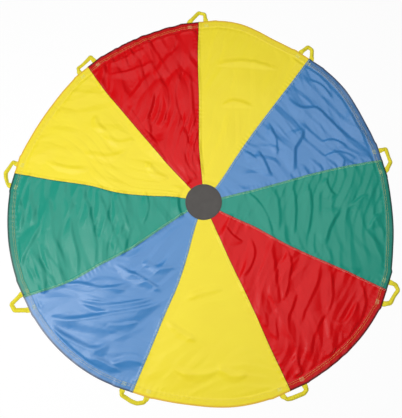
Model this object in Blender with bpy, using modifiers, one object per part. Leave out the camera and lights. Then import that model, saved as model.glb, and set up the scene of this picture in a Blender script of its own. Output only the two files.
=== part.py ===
"""Play parachute, six feet across.

Nine nylon gores are lapped and sewn side by side into one flat canopy. Their points meet
between two vinyl hub discs, and nine webbing handles are sewn under the hem, one at each
seam. The canopy lies spread on the floor, with the soft folds that it keeps from its bag.

Lengths are in metres and +Z is up. The floor is z = 0, and the origin is under the middle
of the hub. Seen from above, gore 1 is the yellow one right of the top seam, and gores,
seams and handles are numbered clockwise from it. Bearings run clockwise from +Y.
"""
import math
from collections import namedtuple
from functools import lru_cache

import bmesh
import bpy
from mathutils import Vector

# The canopy's cloth
CANOPY_RADIUS = 0.915           # hub to hem on average, a six foot canopy
CLOTH_THICKNESS = 0.0006
SEAM_LAP = 0.010                # each gore covers the edge of the gore before it
LAP_STEP = 0.003                # over this the upper gore comes down beside the lap
LAP_TUCK = 0.0005               # the covered edge stops this far short of that step
HEM_WIDTH = 0.034
HEM_THICKNESS = 0.0012
HEM_STEP = 0.0015               # over this the folded hem thins to single cloth
SEATING_GAP = 0.0003            # between pieces that are sewn face to face

# The hub
HUB_RADIUS = 0.086
HUB_THICKNESS = 0.0015
HUB_EDGE_ROUNDING = 0.0004
HUB_SIDES = 64
HUB_MARGIN = 0.002              # cloth leaves the backing disc this far outside it
HUB_SHOULDER = 0.020            # and comes down to the floor over this
GORE_POINT_RADIUS = 0.045       # the gores' cut points end here, inside the hub

# The webbing handles
WEBBING_WIDTH = 0.025
WEBBING_THICKNESS = 0.0012
SEWN_END_SHORT = 0.001          # the ends under the hem stop this short of its inner edge
HANDLE_SPREAD = 0.100
HANDLE_REACH = 0.050
HANDLE_SWING = math.radians(120)  # each way from lying flat
SWING_CLEARANCE = 0.0001
ROOT_OVERRUN = 0.0003           # a loop begins this far behind its hinge line
SEAT_MARGIN = 0.003             # straight hem past a handle's outer edge
SEAT_RAMP = 0.018               # over this the hem comes down beside a handle

# The sewing thread
THREAD_RADIUS = 0.0004
THREAD_GAP = 0.0004
SEAM_ROW_INSET = 0.002          # a lap's rows lie this far inside its two edges
HEM_ROW_INSET = 0.003           # the hem's inner row lies this far from its inner edge
HEM_ROW_SPACING = 0.008
HUB_ROW_INSET = 0.004
TACK_WIDTH = 0.018
TACK_LENGTH = 0.014
TACK_INSET = 0.002              # a tack box ends this far from the hem's inner edge
ROW_CHANGE_LENGTH = 0.012       # the hem's thread moves to its inner row over this
ROW_END_SPACING = 0.004

# Folds in the cloth
FOLD_HEIGHT = 0.012
FOLD_HALF_WIDTH = 0.062
FLAT_CUT = 0.0005               # the lowest cloth is cut flat to stand on the floor

# How finely the cloth is divided
BODY_ROWS = 10
BODY_COLUMNS = 5

# Each gore's colour, clockwise, and how far each seam leans from an even share of the turn
GORE_COLOURS = ("yellow", "blue", "green", "red", "yellow", "blue", "green", "yellow", "red")
GORE_COUNT = len(GORE_COLOURS)
SEAM_LEAN_DEGREES = (-1.5, -4.1, -3.4, -4.0, -4.3, 0.2, 1.4, -1.2, 0.0)

# The hem's radius at each gore's first seam and a third and two thirds of the way across it
RIM_SHARES = (
    (1.027, 1.034, 0.997),
    (0.992, 0.990, 0.967),
    (0.967, 0.970, 0.987),
    (1.018, 1.023, 1.016),
    (1.011, 1.004, 0.985),
    (0.989, 1.007, 1.017),
    (1.017, 1.013, 1.008),
    (1.003, 0.981, 0.974),
    (0.987, 0.990, 1.002),
)

# How far each seam wanders clockwise of its straight line, at these shares of the radius
DRIFT_STATION_SHARES = (0.0, 0.15, 0.30, 0.45, 0.60, 0.80, 1.0)
SEAM_DRIFT_SHARES = (
    (0.0, -0.006, -0.015, -0.012, -0.009, -0.009, 0.0),
    (0.0, 0.005, -0.003, -0.007, -0.006, -0.002, 0.0),
    (0.0, -0.003, -0.004, -0.010, -0.016, -0.013, 0.0),
    (0.0, 0.004, 0.001, 0.010, 0.009, 0.002, 0.0),
    (0.0, 0.002, 0.003, 0.001, -0.001, 0.002, 0.0),
    (0.0, -0.006, -0.020, -0.025, -0.016, -0.009, 0.0),
    (0.0, -0.010, -0.025, -0.039, -0.036, -0.036, 0.0),
    (0.0, 0.004, -0.012, -0.019, -0.005, -0.005, 0.0),
    (0.0, -0.010, -0.017, -0.018, -0.017, -0.016, 0.0),
)

# Each loop's middle line: where it leaves the hem, its corners and where it returns. The
# first number is along the hem, clockwise, as a share of the spread, and a corner's second
# one is outward, as a share of the reach.
HANDLE_SHARES = (
    (-0.48, (0.06, 1.08), (0.35, 0.84), 0.37),
    (-0.53, (-0.40, 1.06), (-0.15, 1.02), 0.13),
    (-0.49, (-0.50, 0.70), (-0.04, 0.70), (0.18, 0.76), 0.53),
    (-0.37, (-0.36, 0.62), (-0.17, 1.02), (0.21, 0.76), (0.51, 0.66), 0.67),
    (-0.66, (-0.67, 0.44), (-0.50, 0.64), (0.11, 0.58), (0.29, 0.50), 0.42),
    (-0.67, (-0.61, 0.46), (-0.32, 0.76), (-0.05, 0.72), (0.43, 0.46), 0.46),
    (-0.58, (-0.29, 1.26), (0.02, 1.32), 0.22),
    (-0.64, (-0.56, 0.34), (-0.30, 0.68), (-0.07, 0.86), (0.54, 0.44), 0.46),
    (-0.52, (-0.42, 0.54), (-0.10, 0.50), (0.44, 0.66), 0.44),
)

# The main folds: a start, a bend and an end as (x, y) shares of the canopy's radius, then
# the fold's share of the full fold height
FOLD_SHARES = (
    ((0.52, 0.54), (0.53, 0.36), (0.47, 0.13), 1.0),
    ((0.46, 0.06), (0.45, -0.07), (0.47, -0.20), 0.8),
    ((0.19, 0.23), (0.32, 0.09), (0.37, -0.12), 0.7),
    ((0.36, -0.20), (0.37, -0.45), (0.42, -0.66), 1.0),
    ((0.57, -0.37), (0.53, -0.49), (0.47, -0.58), 0.7),
    ((0.73, -0.42), (0.72, -0.60), (0.61, -0.71), 0.8),
    ((0.62, 0.52), (0.72, 0.37), (0.81, 0.28), 0.8),
    ((0.73, -0.07), (0.63, -0.20), (0.64, -0.31), 0.7),
    ((-0.81, -0.53), (-0.56, -0.58), (-0.22, -0.52), 1.0),
    ((-0.78, -0.60), (-0.53, -0.71), (-0.37, -0.83), 0.8),
    ((-0.45, -0.29), (-0.29, -0.37), (-0.16, -0.31), 0.8),
    ((-0.77, -0.02), (-0.72, -0.17), (-0.68, -0.29), 0.7),
    ((-0.52, 0.05), (-0.44, -0.12), (-0.38, -0.26), 0.8),
    ((-0.67, 0.56), (-0.67, 0.39), (-0.65, 0.27), 0.7),
    ((-0.63, 0.28), (-0.50, 0.18), (-0.50, 0.09), 0.6),
    ((-0.14, 0.90), (-0.22, 0.78), (-0.24, 0.59), 0.9),
    ((-0.29, 0.57), (-0.27, 0.40), (-0.21, 0.27), 1.0),
    ((-0.12, 0.45), (-0.13, 0.28), (-0.08, 0.14), 0.7),
    ((0.01, 0.50), (0.05, 0.34), (0.05, 0.20), 0.6),
    ((0.06, 0.78), (0.20, 0.82), (0.34, 0.81), 0.6),
    ((-0.16, -0.58), (-0.02, -0.71), (0.13, -0.64), 0.6),
    ((-0.07, -0.85), (0.10, -0.80), (0.25, -0.89), 0.6),
)

# Each material's colour and roughness
FINISHES = {
    "nylon_yellow": ("#F2E13F", 0.50),
    "nylon_red": ("#D5201F", 0.50),
    "nylon_blue": ("#6499CB", 0.50),
    "nylon_green": ("#3C9987", 0.50),
    "webbing": ("#E2D52B", 0.75),
    "hub_vinyl": ("#5F5B57", 0.60),
    "thread_cream": ("#D9D27C", 0.70),
    "thread_grey": ("#4A4744", 0.70),
}

# Heights that follow from the thicknesses, from the floor up
SEWN_END_TOP = WEBBING_THICKNESS + SEATING_GAP
BACKING_TOP = HUB_THICKNESS + SEATING_GAP
CAP_BOTTOM = BACKING_TOP + 2 * (CLOTH_THICKNESS + SEATING_GAP)
CAP_TOP = CAP_BOTTOM + HUB_THICKNESS
LAPPED_HEM_TOP = SEWN_END_TOP + 2 * HEM_THICKNESS + SEATING_GAP

# Places on the hem that follow from its width, measured in from its edge
HEM_INNER_ROW = HEM_WIDTH - HEM_ROW_INSET
HEM_OUTER_ROW = HEM_INNER_ROW - HEM_ROW_SPACING
TACK_INNER = HEM_WIDTH - TACK_INSET
TACK_OUTER = TACK_INNER - TACK_LENGTH
SEWN_END_LENGTH = HEM_WIDTH - SEWN_END_SHORT

# A thread that crosses a lap is over the upper gore before that gore's edge, and climbs
# there over as long a run as the lap's own step
STEP_OVER_END = 2.5 * THREAD_RADIUS
STEP_OVER_START = STEP_OVER_END + LAP_STEP

# Along the hem from a seam, the places where a thread over the lap starts to climb, is up,
# starts to come down and is down
LAP_CLIMB = (-STEP_OVER_START, -STEP_OVER_END, SEAM_LAP, SEAM_LAP + LAP_STEP)

# The stretch of hem that a handle is sewn under is straight and lifted by the webbing
WIDEST_LEG_SHARE = max(max(abs(shape[0]), abs(shape[-1])) for shape in HANDLE_SHARES)
SEAT_HALF = HANDLE_SPREAD * WIDEST_LEG_SHARE + WEBBING_WIDTH / 2 + SEAT_MARGIN
SEAT_CHORD_SHARE = 0.7

# A loop swings about a line just outside the hem. Both the hem's upper corner and the end
# of the sewn webbing stay clear of the strap at the end of its swing, where each length of
# the strap rises and leans back over the hem by these shares of itself.
HALF_STRAP = WEBBING_THICKNESS / 2
RISE_SHARE = math.sin(HANDLE_SWING)
LEAN_SHARE = -math.cos(HANDLE_SWING)
HINGE_OUT = (HALF_STRAP + SWING_CLEARANCE
             + (LAPPED_HEM_TOP - HALF_STRAP) * LEAN_SHARE) / RISE_SHARE
SEWN_END_OUT = HINGE_OUT - (HALF_STRAP + SWING_CLEARANCE
                            + HALF_STRAP * LEAN_SHARE) / RISE_SHARE

Seat = namedtuple("Seat", "bearing distance middle")
Row = namedtuple("Row", "base share kind")
Column = namedtuple("Column", "share extra level seat raised")


def smooth_through(places, values, place):
    """Read a smooth curve that runs through the values set at the given places."""
    last = len(places) - 1
    start = 0
    while start < last - 1 and place > places[start + 1]:
        start += 1
    slopes = []
    for k in (start, start + 1):
        before, after = max(k - 1, 0), min(k + 1, last)
        slopes.append((values[after] - values[before]) / (places[after] - places[before]))
    span = places[start + 1] - places[start]
    share = (place - places[start]) / span
    square, cube = share ** 2, share ** 3
    return ((2 * cube - 3 * square + 1) * values[start]
            + (cube - 2 * square + share) * span * slopes[0]
            + (3 * square - 2 * cube) * values[start + 1]
            + (cube - square) * span * slopes[1])


def on_bearing(bearing, radius):
    """The point of the floor at a bearing and a distance from the hub's middle."""
    return Vector((radius * math.sin(bearing), radius * math.cos(bearing)))


def seam_bearing(seam):
    """Where a seam meets the hem. Seams past the last count on into the next turn."""
    turns, index = divmod(seam, GORE_COUNT)
    return math.tau * (turns + index / GORE_COUNT) + math.radians(SEAM_LEAN_DEGREES[index])


def seam_bearing_at(seam, radius):
    """A seam's bearing part of the way out, where it wanders from its straight line."""
    stations = [CANOPY_RADIUS * share for share in DRIFT_STATION_SHARES]
    drifts = [CANOPY_RADIUS * share for share in SEAM_DRIFT_SHARES[seam % GORE_COUNT]]
    inside = min(radius, CANOPY_RADIUS)
    return seam_bearing(seam) + smooth_through(stations, drifts, inside) / inside


@lru_cache
def rim_curve():
    """The bearings and radii that the hem's curve runs through, with a gore to spare at
    each end of the turn."""
    places, radii = [], []
    for gore in range(-1, GORE_COUNT + 1):
        start, end = seam_bearing(gore), seam_bearing(gore + 1)
        for third, share in enumerate(RIM_SHARES[gore % GORE_COUNT]):
            places.append(start + (end - start) * third / 3)
            radii.append(CANOPY_RADIUS * share)
    return places, radii


def curved_rim(bearing):
    """The hem's radius between the handles."""
    return smooth_through(*rim_curve(), bearing)


def handle_seat(seam):
    """The straight run of hem over a handle: which way it faces, how far out it lies, and
    the point of it that the seam meets."""
    half_turn = SEAT_CHORD_SHARE * SEAT_HALF / CANOPY_RADIUS
    ends = []
    for side in (-1, 1):
        bearing = seam_bearing(seam) + side * half_turn
        ends.append(on_bearing(bearing, curved_rim(bearing)))
    along = (ends[1] - ends[0]).normalized()
    outward = Vector((-along.y, along.x))
    facing = math.atan2(outward.x, outward.y)
    distance = ends[0].dot(outward)
    middle = on_bearing(seam_bearing(seam),
                        distance / math.cos(seam_bearing(seam) - facing))
    return Seat(facing, distance, middle)


SEATS = [handle_seat(seam) for seam in range(GORE_COUNT)]


def fold_height(fold, point):
    """How high one fold lifts the cloth over a point of the floor."""
    *places, height_share = fold
    corners = [CANOPY_RADIUS * Vector(place) for place in places]
    best = 0.0
    for index, (start, end) in enumerate(zip(corners, corners[1:])):
        run = end - start
        share = min(max((point - start).dot(run) / run.length_squared, 0.0), 1.0)
        aside = (point - start - share * run).length / FOLD_HALF_WIDTH
        if aside < 1.0:
            along = (index + share) / (len(corners) - 1)
            taper = math.sin(math.pi * along)
            best = max(best, FOLD_HEIGHT * height_share * taper * (1 - aside ** 2) ** 2)
    return best


def relief(point):
    """The height of the cloth's folds over the floor, cut flat where they run out."""
    highest = max(fold_height(fold, point) for fold in FOLD_SHARES)
    return max(highest - FLAT_CUT, 0.0)


def gore_rows():
    """Lines round the gore, from its point inside the hub out to its hem. A row lies at
    its base distance plus its share of the body, the cloth between the hub's shoulder and
    the ramp beside the hem."""
    foot = HUB_RADIUS + HUB_MARGIN + HUB_SHOULDER
    rows = [Row(GORE_POINT_RADIUS, 0, "hub"),
            Row(HUB_RADIUS + HUB_MARGIN, 0, "hub")]
    for index in range(BODY_ROWS + 2):
        rows.append(Row(foot, index / (BODY_ROWS + 1), "body"))
    rows.append(Row(foot + SEAT_RAMP, 1, "beside hem"))
    rows.append(Row(foot + SEAT_RAMP + HEM_STEP, 1, "hem"))
    rows.append(Row(foot + SEAT_RAMP + HEM_STEP + HEM_WIDTH, 1, "hem"))
    return rows


ROWS = gore_rows()
FIXED_LENGTH = ROWS[-1].base


def row_radius(row, rim):
    """A row's distance from the hub's middle, where the hem lies at the rim radius."""
    return row.base + row.share * (rim - FIXED_LENGTH)


@lru_cache
def gore_columns(gore):
    """Lines from the hub to the hem, clockwise across the gore. A column lies at its
    share of the way from the lap's step to the next seam, plus its extra distance, and
    takes its folds' height at its level distance. Its seat is the handle seat that it
    crosses, if any. The raised columns lie over the gore before this one."""
    lap = SEAM_LAP + LAP_STEP
    width = (seam_bearing(gore + 1) - seam_bearing(gore)) * CANOPY_RADIUS - lap
    first, second = gore, gore + 1
    near = (SEAT_HALF + SEAT_RAMP - lap) / width
    far = 1 - (SEAT_HALF + SEAT_RAMP) / width
    columns = [Column(0, -lap, -lap, first, True),
               Column(0, -LAP_STEP, -lap, first, True),
               Column(0, 0, 0, first, False),
               Column((SEAT_HALF - lap) / width, 0, 0, first, False)]
    for index in range(BODY_COLUMNS + 2):
        share = near + (far - near) * index / (BODY_COLUMNS + 1)
        columns.append(Column(share, 0, 0, None, False))
    columns += [Column(1 - SEAT_HALF / width, 0, 0, second, False),
                Column(1, 0, 0, second, False),
                Column(1, SEAM_LAP - LAP_TUCK, 0, second, False)]
    return columns


def column_bearing(gore, column, radius):
    """A column's bearing at a distance from the hub's middle."""
    start = seam_bearing_at(gore, radius) + (SEAM_LAP + LAP_STEP) / radius
    end = seam_bearing_at(gore + 1, radius)
    return start + column.share * (end - start) + column.extra / radius


def rim_at(gore, column):
    """The hem's radius where a column meets it."""
    bearing = column_bearing(gore, column, CANOPY_RADIUS)
    if column.seat is None:
        return curved_rim(bearing)
    seat = SEATS[column.seat % GORE_COUNT]
    return seat.distance / math.cos(bearing - seat.bearing)


def grid_point(gore, row, column):
    """Where a row and a column of a gore cross, seen from above."""
    radius = row_radius(row, rim_at(gore, column))
    return on_bearing(column_bearing(gore, column, radius), radius)


def cloth_thickness(row):
    return HEM_THICKNESS if row.kind == "hem" else CLOTH_THICKNESS


def under_height(gore, row, column):
    """The height of the cloth's underside where a row and a column cross."""
    level = column._replace(extra=column.level)
    if row.kind == "hub":
        height = BACKING_TOP
    elif row.kind == "body":
        height = relief(grid_point(gore, row, level))
    elif column.seat is not None:
        height = SEWN_END_TOP
    else:
        radius = rim_at(gore, level) - HEM_WIDTH / 2
        height = relief(on_bearing(column_bearing(gore, level, radius), radius))
    if column.raised:
        height += cloth_thickness(row) + SEATING_GAP
    return height


def clear_scene():
    for item in list(bpy.data.objects):
        bpy.data.objects.remove(item, do_unlink=True)


def linear(channel):
    """One colour channel from the photograph's scale to the renderer's linear one."""
    if channel <= 0.04045:
        return channel / 12.92
    return ((channel + 0.055) / 1.055) ** 2.4


def make_materials():
    made = {}
    for name, (colour, roughness) in FINISHES.items():
        material = bpy.data.materials.new(name)
        material.use_nodes = True
        channels = [int(colour[k:k + 2], 16) / 255 for k in (1, 3, 5)]
        shader = material.node_tree.nodes["Principled BSDF"]
        shader.inputs["Base Color"].default_value = (*map(linear, channels), 1)
        shader.inputs["Roughness"].default_value = roughness
        shader.inputs["Metallic"].default_value = 0
        made[name] = material
    return made


def place(item, name, collection, material):
    """Name an object, give it its material and put it in the part's collection alone."""
    item.name = name
    item.data.name = name
    for old in list(item.users_collection):
        old.objects.unlink(item)
    collection.objects.link(item)
    item.data.materials.clear()
    item.data.materials.append(material)
    return item


def add_gore(gore, collection, materials):
    """One gore: an open sheet that Solidify thickens upward, doubled along its hem."""
    columns = gore_columns(gore)
    mesh = bpy.data.meshes.new("gore")
    shape = bmesh.new()
    bmesh.ops.create_grid(shape, x_segments=len(columns) - 1, y_segments=len(ROWS) - 1,
                          size=1)
    hem_vertices = []
    for vertex in shape.verts:
        column = columns[round((vertex.co.x + 1) / 2 * (len(columns) - 1))]
        row = ROWS[round((vertex.co.y + 1) / 2 * (len(ROWS) - 1))]
        flat = grid_point(gore, row, column)
        vertex.co = (flat.x, flat.y, under_height(gore, row, column))
        if row.kind == "hem":
            hem_vertices.append(vertex.index)
    shape.to_mesh(mesh)
    shape.free()
    item = bpy.data.objects.new("gore", mesh)
    colour = GORE_COLOURS[gore]
    place(item, f"gore_{gore + 1}_{colour}", collection, materials[f"nylon_{colour}"])
    item.vertex_groups.new(name="hem").add(hem_vertices, 1.0, "REPLACE")
    solid = item.modifiers.new("cloth thickness", "SOLIDIFY")
    solid.thickness = HEM_THICKNESS
    solid.vertex_group = "hem"
    solid.thickness_vertex_group = CLOTH_THICKNESS / HEM_THICKNESS
    solid.offset = 1
    mesh.shade_smooth()


def add_disc(name, bottom, collection, material):
    """A round hub disc with its edges taken off."""
    bpy.ops.mesh.primitive_cylinder_add(vertices=HUB_SIDES, radius=HUB_RADIUS,
                                        depth=HUB_THICKNESS,
                                        location=(0, 0, bottom + HUB_THICKNESS / 2))
    disc = place(bpy.context.object, name, collection, material)
    bevel = disc.modifiers.new("edge rounding", "BEVEL")
    bevel.width = HUB_EDGE_ROUNDING
    bevel.segments = 1


def add_thread(name, points, closed, collection, material):
    """One length of sewing thread, a thin tube along its points."""
    curve = bpy.data.curves.new(name, "CURVE")
    curve.dimensions = "3D"
    curve.bevel_depth = THREAD_RADIUS
    curve.bevel_resolution = 0
    curve.use_fill_caps = True
    spline = curve.splines.new("POLY")
    spline.points.add(len(points) - 1)
    for point, corner in zip(spline.points, points):
        point.co = (*corner, 1)
    spline.use_cyclic_u = closed
    place(bpy.data.objects.new(name, curve), name, collection, material)


def on_cloth(gore, row, column, flat):
    """A thread's middle where it lies on the cloth over a point of the floor."""
    top = under_height(gore, row, column) + cloth_thickness(row)
    return (flat.x, flat.y, top + THREAD_GAP + THREAD_RADIUS)


def add_seam_thread(seam, collection, material):
    """The stitching that holds a lap: out beside one edge to the hem and back beside the
    other, from the hub cap's edge."""
    rows = [row for row in ROWS[1:] if row.kind != "hem"]
    edge = gore_columns(seam)[0]
    points = []
    for aside, order in ((SEAM_ROW_INSET, rows), (SEAM_LAP - SEAM_ROW_INSET, rows[::-1])):
        line = edge._replace(extra=edge.extra + aside)
        points += [on_cloth(seam, row, edge, grid_point(seam, row, line)) for row in order]
    add_thread(f"seam_thread_{seam + 1}", points, True, collection, material)


def hem_point(gore, level, extra, inset):
    """A thread's middle on the hem, an extra distance along from one of its columns."""
    line = level._replace(extra=level.extra + extra)
    radius = rim_at(gore, line) - inset
    flat = on_bearing(column_bearing(gore, line, radius), radius)
    return on_cloth(gore, ROWS[-1], level, flat)


def add_hem_thread(collection, material):
    """The hem's stitching, one thread that goes round twice: its outer row, then its
    inner row. It climbs over each lap."""
    change_start = STEP_OVER_START + ROW_CHANGE_LENGTH
    points = []
    for inset in (HEM_OUTER_ROW, HEM_INNER_ROW):
        for gore in range(GORE_COUNT):
            columns = gore_columns(gore)[:-1]
            points.append(hem_point(gore, columns[0], -STEP_OVER_END, inset))
            points += [hem_point(gore, column, 0, inset) for column in columns[1:-1]]
            if gore < GORE_COUNT - 1:
                points.append(hem_point(gore, columns[-1], -STEP_OVER_START, inset))
        if inset == HEM_OUTER_ROW:
            points.append(hem_point(gore, columns[-1], -change_start, HEM_OUTER_ROW))
            points.append(hem_point(gore, columns[-1], -STEP_OVER_START, HEM_INNER_ROW))
    points.append(hem_point(gore, columns[-1], -change_start - ROW_END_SPACING,
                            HEM_INNER_ROW))
    add_thread("hem_thread", points, False, collection, material)


def add_hub_thread(collection, material):
    """The ring of stitching that holds the cap, the gores and the backing together."""
    height = CAP_TOP + THREAD_GAP + THREAD_RADIUS
    radius = HUB_RADIUS - HUB_ROW_INSET
    ring = [(*on_bearing(math.tau * k / HUB_SIDES, radius), height) for k in range(HUB_SIDES)]
    add_thread("hub_thread", ring, True, collection, material)


def on_seat(item, seat, outward, height):
    """Stand an object on a handle seat, its X clockwise along the hem and its Y outward."""
    flat = seat.middle + outward * on_bearing(seat.bearing, 1)
    item.location = (flat.x, flat.y, height)
    item.rotation_euler.z = -seat.bearing


def handle_line(seam):
    """A loop's middle line from the hinge line out and back, in its seat's own axes."""
    start, *corners, end = HANDLE_SHARES[seam]
    line = [Vector((HANDLE_SPREAD * start, -ROOT_OVERRUN))]
    for along, out in corners:
        line.append(Vector((HANDLE_SPREAD * along, HANDLE_REACH * out)))
    line.append(Vector((HANDLE_SPREAD * end, -ROOT_OVERRUN)))
    return line


def strap_side(line, side):
    """One long edge of a strap laid along a line, mitred at its corners and cut off
    straight at its two ends."""
    aside = side * WEBBING_WIDTH / 2
    runs = [(end - start).normalized() for start, end in zip(line, line[1:])]
    edge = [line[0] - Vector((aside / runs[0].y, 0))]
    for corner, before, after in zip(line[1:-1], runs, runs[1:]):
        middle = Vector((-before.y - after.y, before.x + after.x)).normalized()
        edge.append(corner + middle * aside / middle.dot(Vector((-before.y, before.x))))
    edge.append(line[-1] - Vector((aside / runs[-1].y, 0)))
    return edge


def add_handle(seam, collection, material):
    """The free loop of a handle, a flat strap with mitred corners, hinged at the hem."""
    line = handle_line(seam)
    outline = strap_side(line, 1) + strap_side(line, -1)[::-1]
    name = f"handle_{seam + 1}"
    curve = bpy.data.curves.new(name, "CURVE")
    curve.dimensions = "2D"
    curve.fill_mode = "BOTH"
    curve.extrude = HALF_STRAP
    spline = curve.splines.new("POLY")
    spline.points.add(len(outline) - 1)
    for point, corner in zip(spline.points, outline):
        point.co = (corner.x, corner.y, 0, 1)
    spline.use_cyclic_u = True
    item = place(bpy.data.objects.new(name, curve), name, collection, material)
    on_seat(item, SEATS[seam], HINGE_OUT, HALF_STRAP)


def leg_places(seam):
    """Where along the hem a handle's two ends are sewn."""
    return [HANDLE_SPREAD * HANDLE_SHARES[seam][k] for k in (0, -1)]


def add_sewn_ends(seam, collection, material):
    """The two ends of a handle's strap, flat on the floor under the hem."""
    length = SEWN_END_LENGTH + SEWN_END_OUT
    for side, along in zip(("left", "right"), leg_places(seam)):
        name = f"handle_{seam + 1}_{side}_end"
        mesh = bpy.data.meshes.new(name)
        shape = bmesh.new()
        made = bmesh.ops.create_cube(shape, size=1.0)["verts"]
        bmesh.ops.scale(shape, verts=made, vec=(WEBBING_WIDTH, length, WEBBING_THICKNESS))
        bmesh.ops.translate(shape, verts=made, vec=(along, SEWN_END_OUT - length / 2, 0))
        shape.to_mesh(mesh)
        shape.free()
        item = place(bpy.data.objects.new(name, mesh), name, collection, material)
        on_seat(item, SEATS[seam], 0, HALF_STRAP)


def seat_lift(along):
    """How much higher a hem's top is at a place along a handle seat, because of the lap."""
    climb_start, climb_end, fall_start, fall_end = LAP_CLIMB
    if along <= climb_start or along >= fall_end:
        return 0.0
    full = HEM_THICKNESS + SEATING_GAP
    if along < climb_end:
        return full * (along - climb_start) / (climb_end - climb_start)
    if along > fall_start:
        return full * (fall_end - along) / (fall_end - fall_start)
    return full


def add_tacks(seam, collection, material):
    """A box of stitches over each sewn end, and the run between the two. It lies across
    the hem's two rows and climbs over the lap."""
    left, right = leg_places(seam)
    half = TACK_WIDTH / 2
    short = TACK_OUTER + 2 * (THREAD_RADIUS + THREAD_GAP)
    path = [(left + half, short), (left + half, TACK_INNER), (left - half, TACK_INNER),
            (left - half, TACK_OUTER), (right + half, TACK_OUTER),
            (right + half, TACK_INNER), (right - half, TACK_INNER), (right - half, short)]
    seat = SEATS[seam]
    along_hem = on_bearing(seat.bearing + math.pi / 2, 1)
    outward = on_bearing(seat.bearing, 1)
    over_rows = SEWN_END_TOP + HEM_THICKNESS + 2 * THREAD_GAP + 3 * THREAD_RADIUS
    points = []
    for (start, first), (end, last) in zip(path, path[1:]):
        crossed = [place for place in LAP_CLIMB if min(start, end) < place < max(start, end)]
        stops = [start] + sorted(crossed, reverse=end < start)
        for along in stops:
            share = (along - start) / (end - start) if end != start else 0.0
            inset = first + (last - first) * share
            flat = seat.middle + along * along_hem - inset * outward
            points.append((flat.x, flat.y, over_rows + seat_lift(along)))
    flat = seat.middle + path[-1][0] * along_hem - path[-1][1] * outward
    points.append((flat.x, flat.y, over_rows + seat_lift(path[-1][0])))
    add_thread(f"handle_{seam + 1}_tacks", points, False, collection, material)


def main():
    clear_scene()
    parachute = bpy.data.collections.new("play_parachute")
    bpy.context.scene.collection.children.link(parachute)
    materials = make_materials()
    add_disc("hub_backing", 0, parachute, materials["hub_vinyl"])
    add_disc("hub_cap", CAP_BOTTOM, parachute, materials["hub_vinyl"])
    add_hub_thread(parachute, materials["thread_grey"])
    add_hem_thread(parachute, materials["thread_cream"])
    for number in range(GORE_COUNT):
        add_gore(number, parachute, materials)
        add_seam_thread(number, parachute, materials["thread_cream"])
        add_handle(number, parachute, materials["webbing"])
        add_sewn_ends(number, parachute, materials["webbing"])
        add_tacks(number, parachute, materials["thread_cream"])


main()
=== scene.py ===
"""Play parachute, its finish and its soft shape.

Nine taffeta gores lie spread on a pale floor, seen from almost straight above. The cloth is
one settled surface: its folds start at places seen in the photograph, and a cloth simulation
lets them fall and buckle. Each gore is then cut from that surface with its lap and its folded
hem, and the stitches, the webbing and the hub are laid on it.

Lengths are in metres. Bearings run clockwise from +Y, as do gores, seams and handles.
"""

import math
from collections import namedtuple
from functools import lru_cache

import bpy
import numpy as np
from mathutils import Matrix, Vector, noise


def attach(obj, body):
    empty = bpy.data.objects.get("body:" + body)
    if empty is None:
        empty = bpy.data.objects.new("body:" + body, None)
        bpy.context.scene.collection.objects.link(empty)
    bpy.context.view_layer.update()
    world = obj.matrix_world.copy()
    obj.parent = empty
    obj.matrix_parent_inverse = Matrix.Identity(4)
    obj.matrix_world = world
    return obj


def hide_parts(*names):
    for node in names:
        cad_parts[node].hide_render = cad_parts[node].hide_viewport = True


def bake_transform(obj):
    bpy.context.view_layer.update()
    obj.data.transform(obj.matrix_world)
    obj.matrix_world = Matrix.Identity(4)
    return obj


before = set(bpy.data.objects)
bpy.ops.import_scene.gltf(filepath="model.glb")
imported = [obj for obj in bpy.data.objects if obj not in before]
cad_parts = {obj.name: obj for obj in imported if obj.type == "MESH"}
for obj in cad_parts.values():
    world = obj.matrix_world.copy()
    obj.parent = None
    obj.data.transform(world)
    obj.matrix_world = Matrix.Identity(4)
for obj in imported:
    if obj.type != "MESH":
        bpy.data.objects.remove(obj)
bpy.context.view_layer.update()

# Sizes shared with the construction
CANOPY_RADIUS = 0.915           # hub to hem on average, a six foot canopy
CLOTH_STEP = 0.0006             # each layer of cloth raises the next by this and the gap
SEATING_GAP = 0.0003            # between pieces that are sewn face to face
SEAM_LAP = 0.010                # each gore covers the edge of the gore before it
LAP_STEP = 0.003                # over this the upper gore comes down beside the lap
LAP_TUCK = 0.0005               # the covered edge stops this far short of that step
HEM_WIDTH = 0.034
HEM_THICKNESS = 0.0012
HEM_STEP = 0.0015               # over this the folded hem thins to single cloth
HUB_RADIUS = 0.086
HUB_THICKNESS = 0.0015
HUB_MARGIN = 0.002              # cloth leaves the backing disc this far outside it
HUB_SHOULDER = 0.020            # and comes down to the floor over this
GORE_POINT_RADIUS = 0.045       # the gores' points are hidden between the hub's two discs
WEBBING_WIDTH = 0.025
WEBBING_THICKNESS = 0.0012
SEWN_END_SHORT = 0.001          # the ends under the hem stop this short of its inner edge
HANDLE_SPREAD = 0.100
HANDLE_REACH = 0.050
HINGE_OUT = 0.0029              # from the hem's edge to the line that a loop swings about
SEAT_MARGIN = 0.003             # straight hem past a handle's outer edge
SEAT_RAMP = 0.018               # over this the hem comes down beside a handle
SEAT_CHORD_SHARE = 0.7
SEAM_ROW_INSET = 0.002
HEM_ROW_INSET = 0.003           # the hem's inner row lies this far from its inner edge
HEM_ROW_SPACING = 0.008
HUB_ROW_INSET = 0.004
TACK_WIDTH = 0.018
TACK_LENGTH = 0.014
TACK_INSET = 0.002              # a tack box ends this far from the hem's inner edge

# Each gore's colour, clockwise, and how far each seam leans from an even share of the turn
GORE_COLOURS = ("yellow", "blue", "green", "red", "yellow", "blue", "green", "yellow", "red")
GORE_COUNT = len(GORE_COLOURS)
SEAM_LEAN_DEGREES = (-1.5, -4.1, -3.4, -4.0, -4.3, 0.2, 1.4, -1.2, 0.0)

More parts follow.
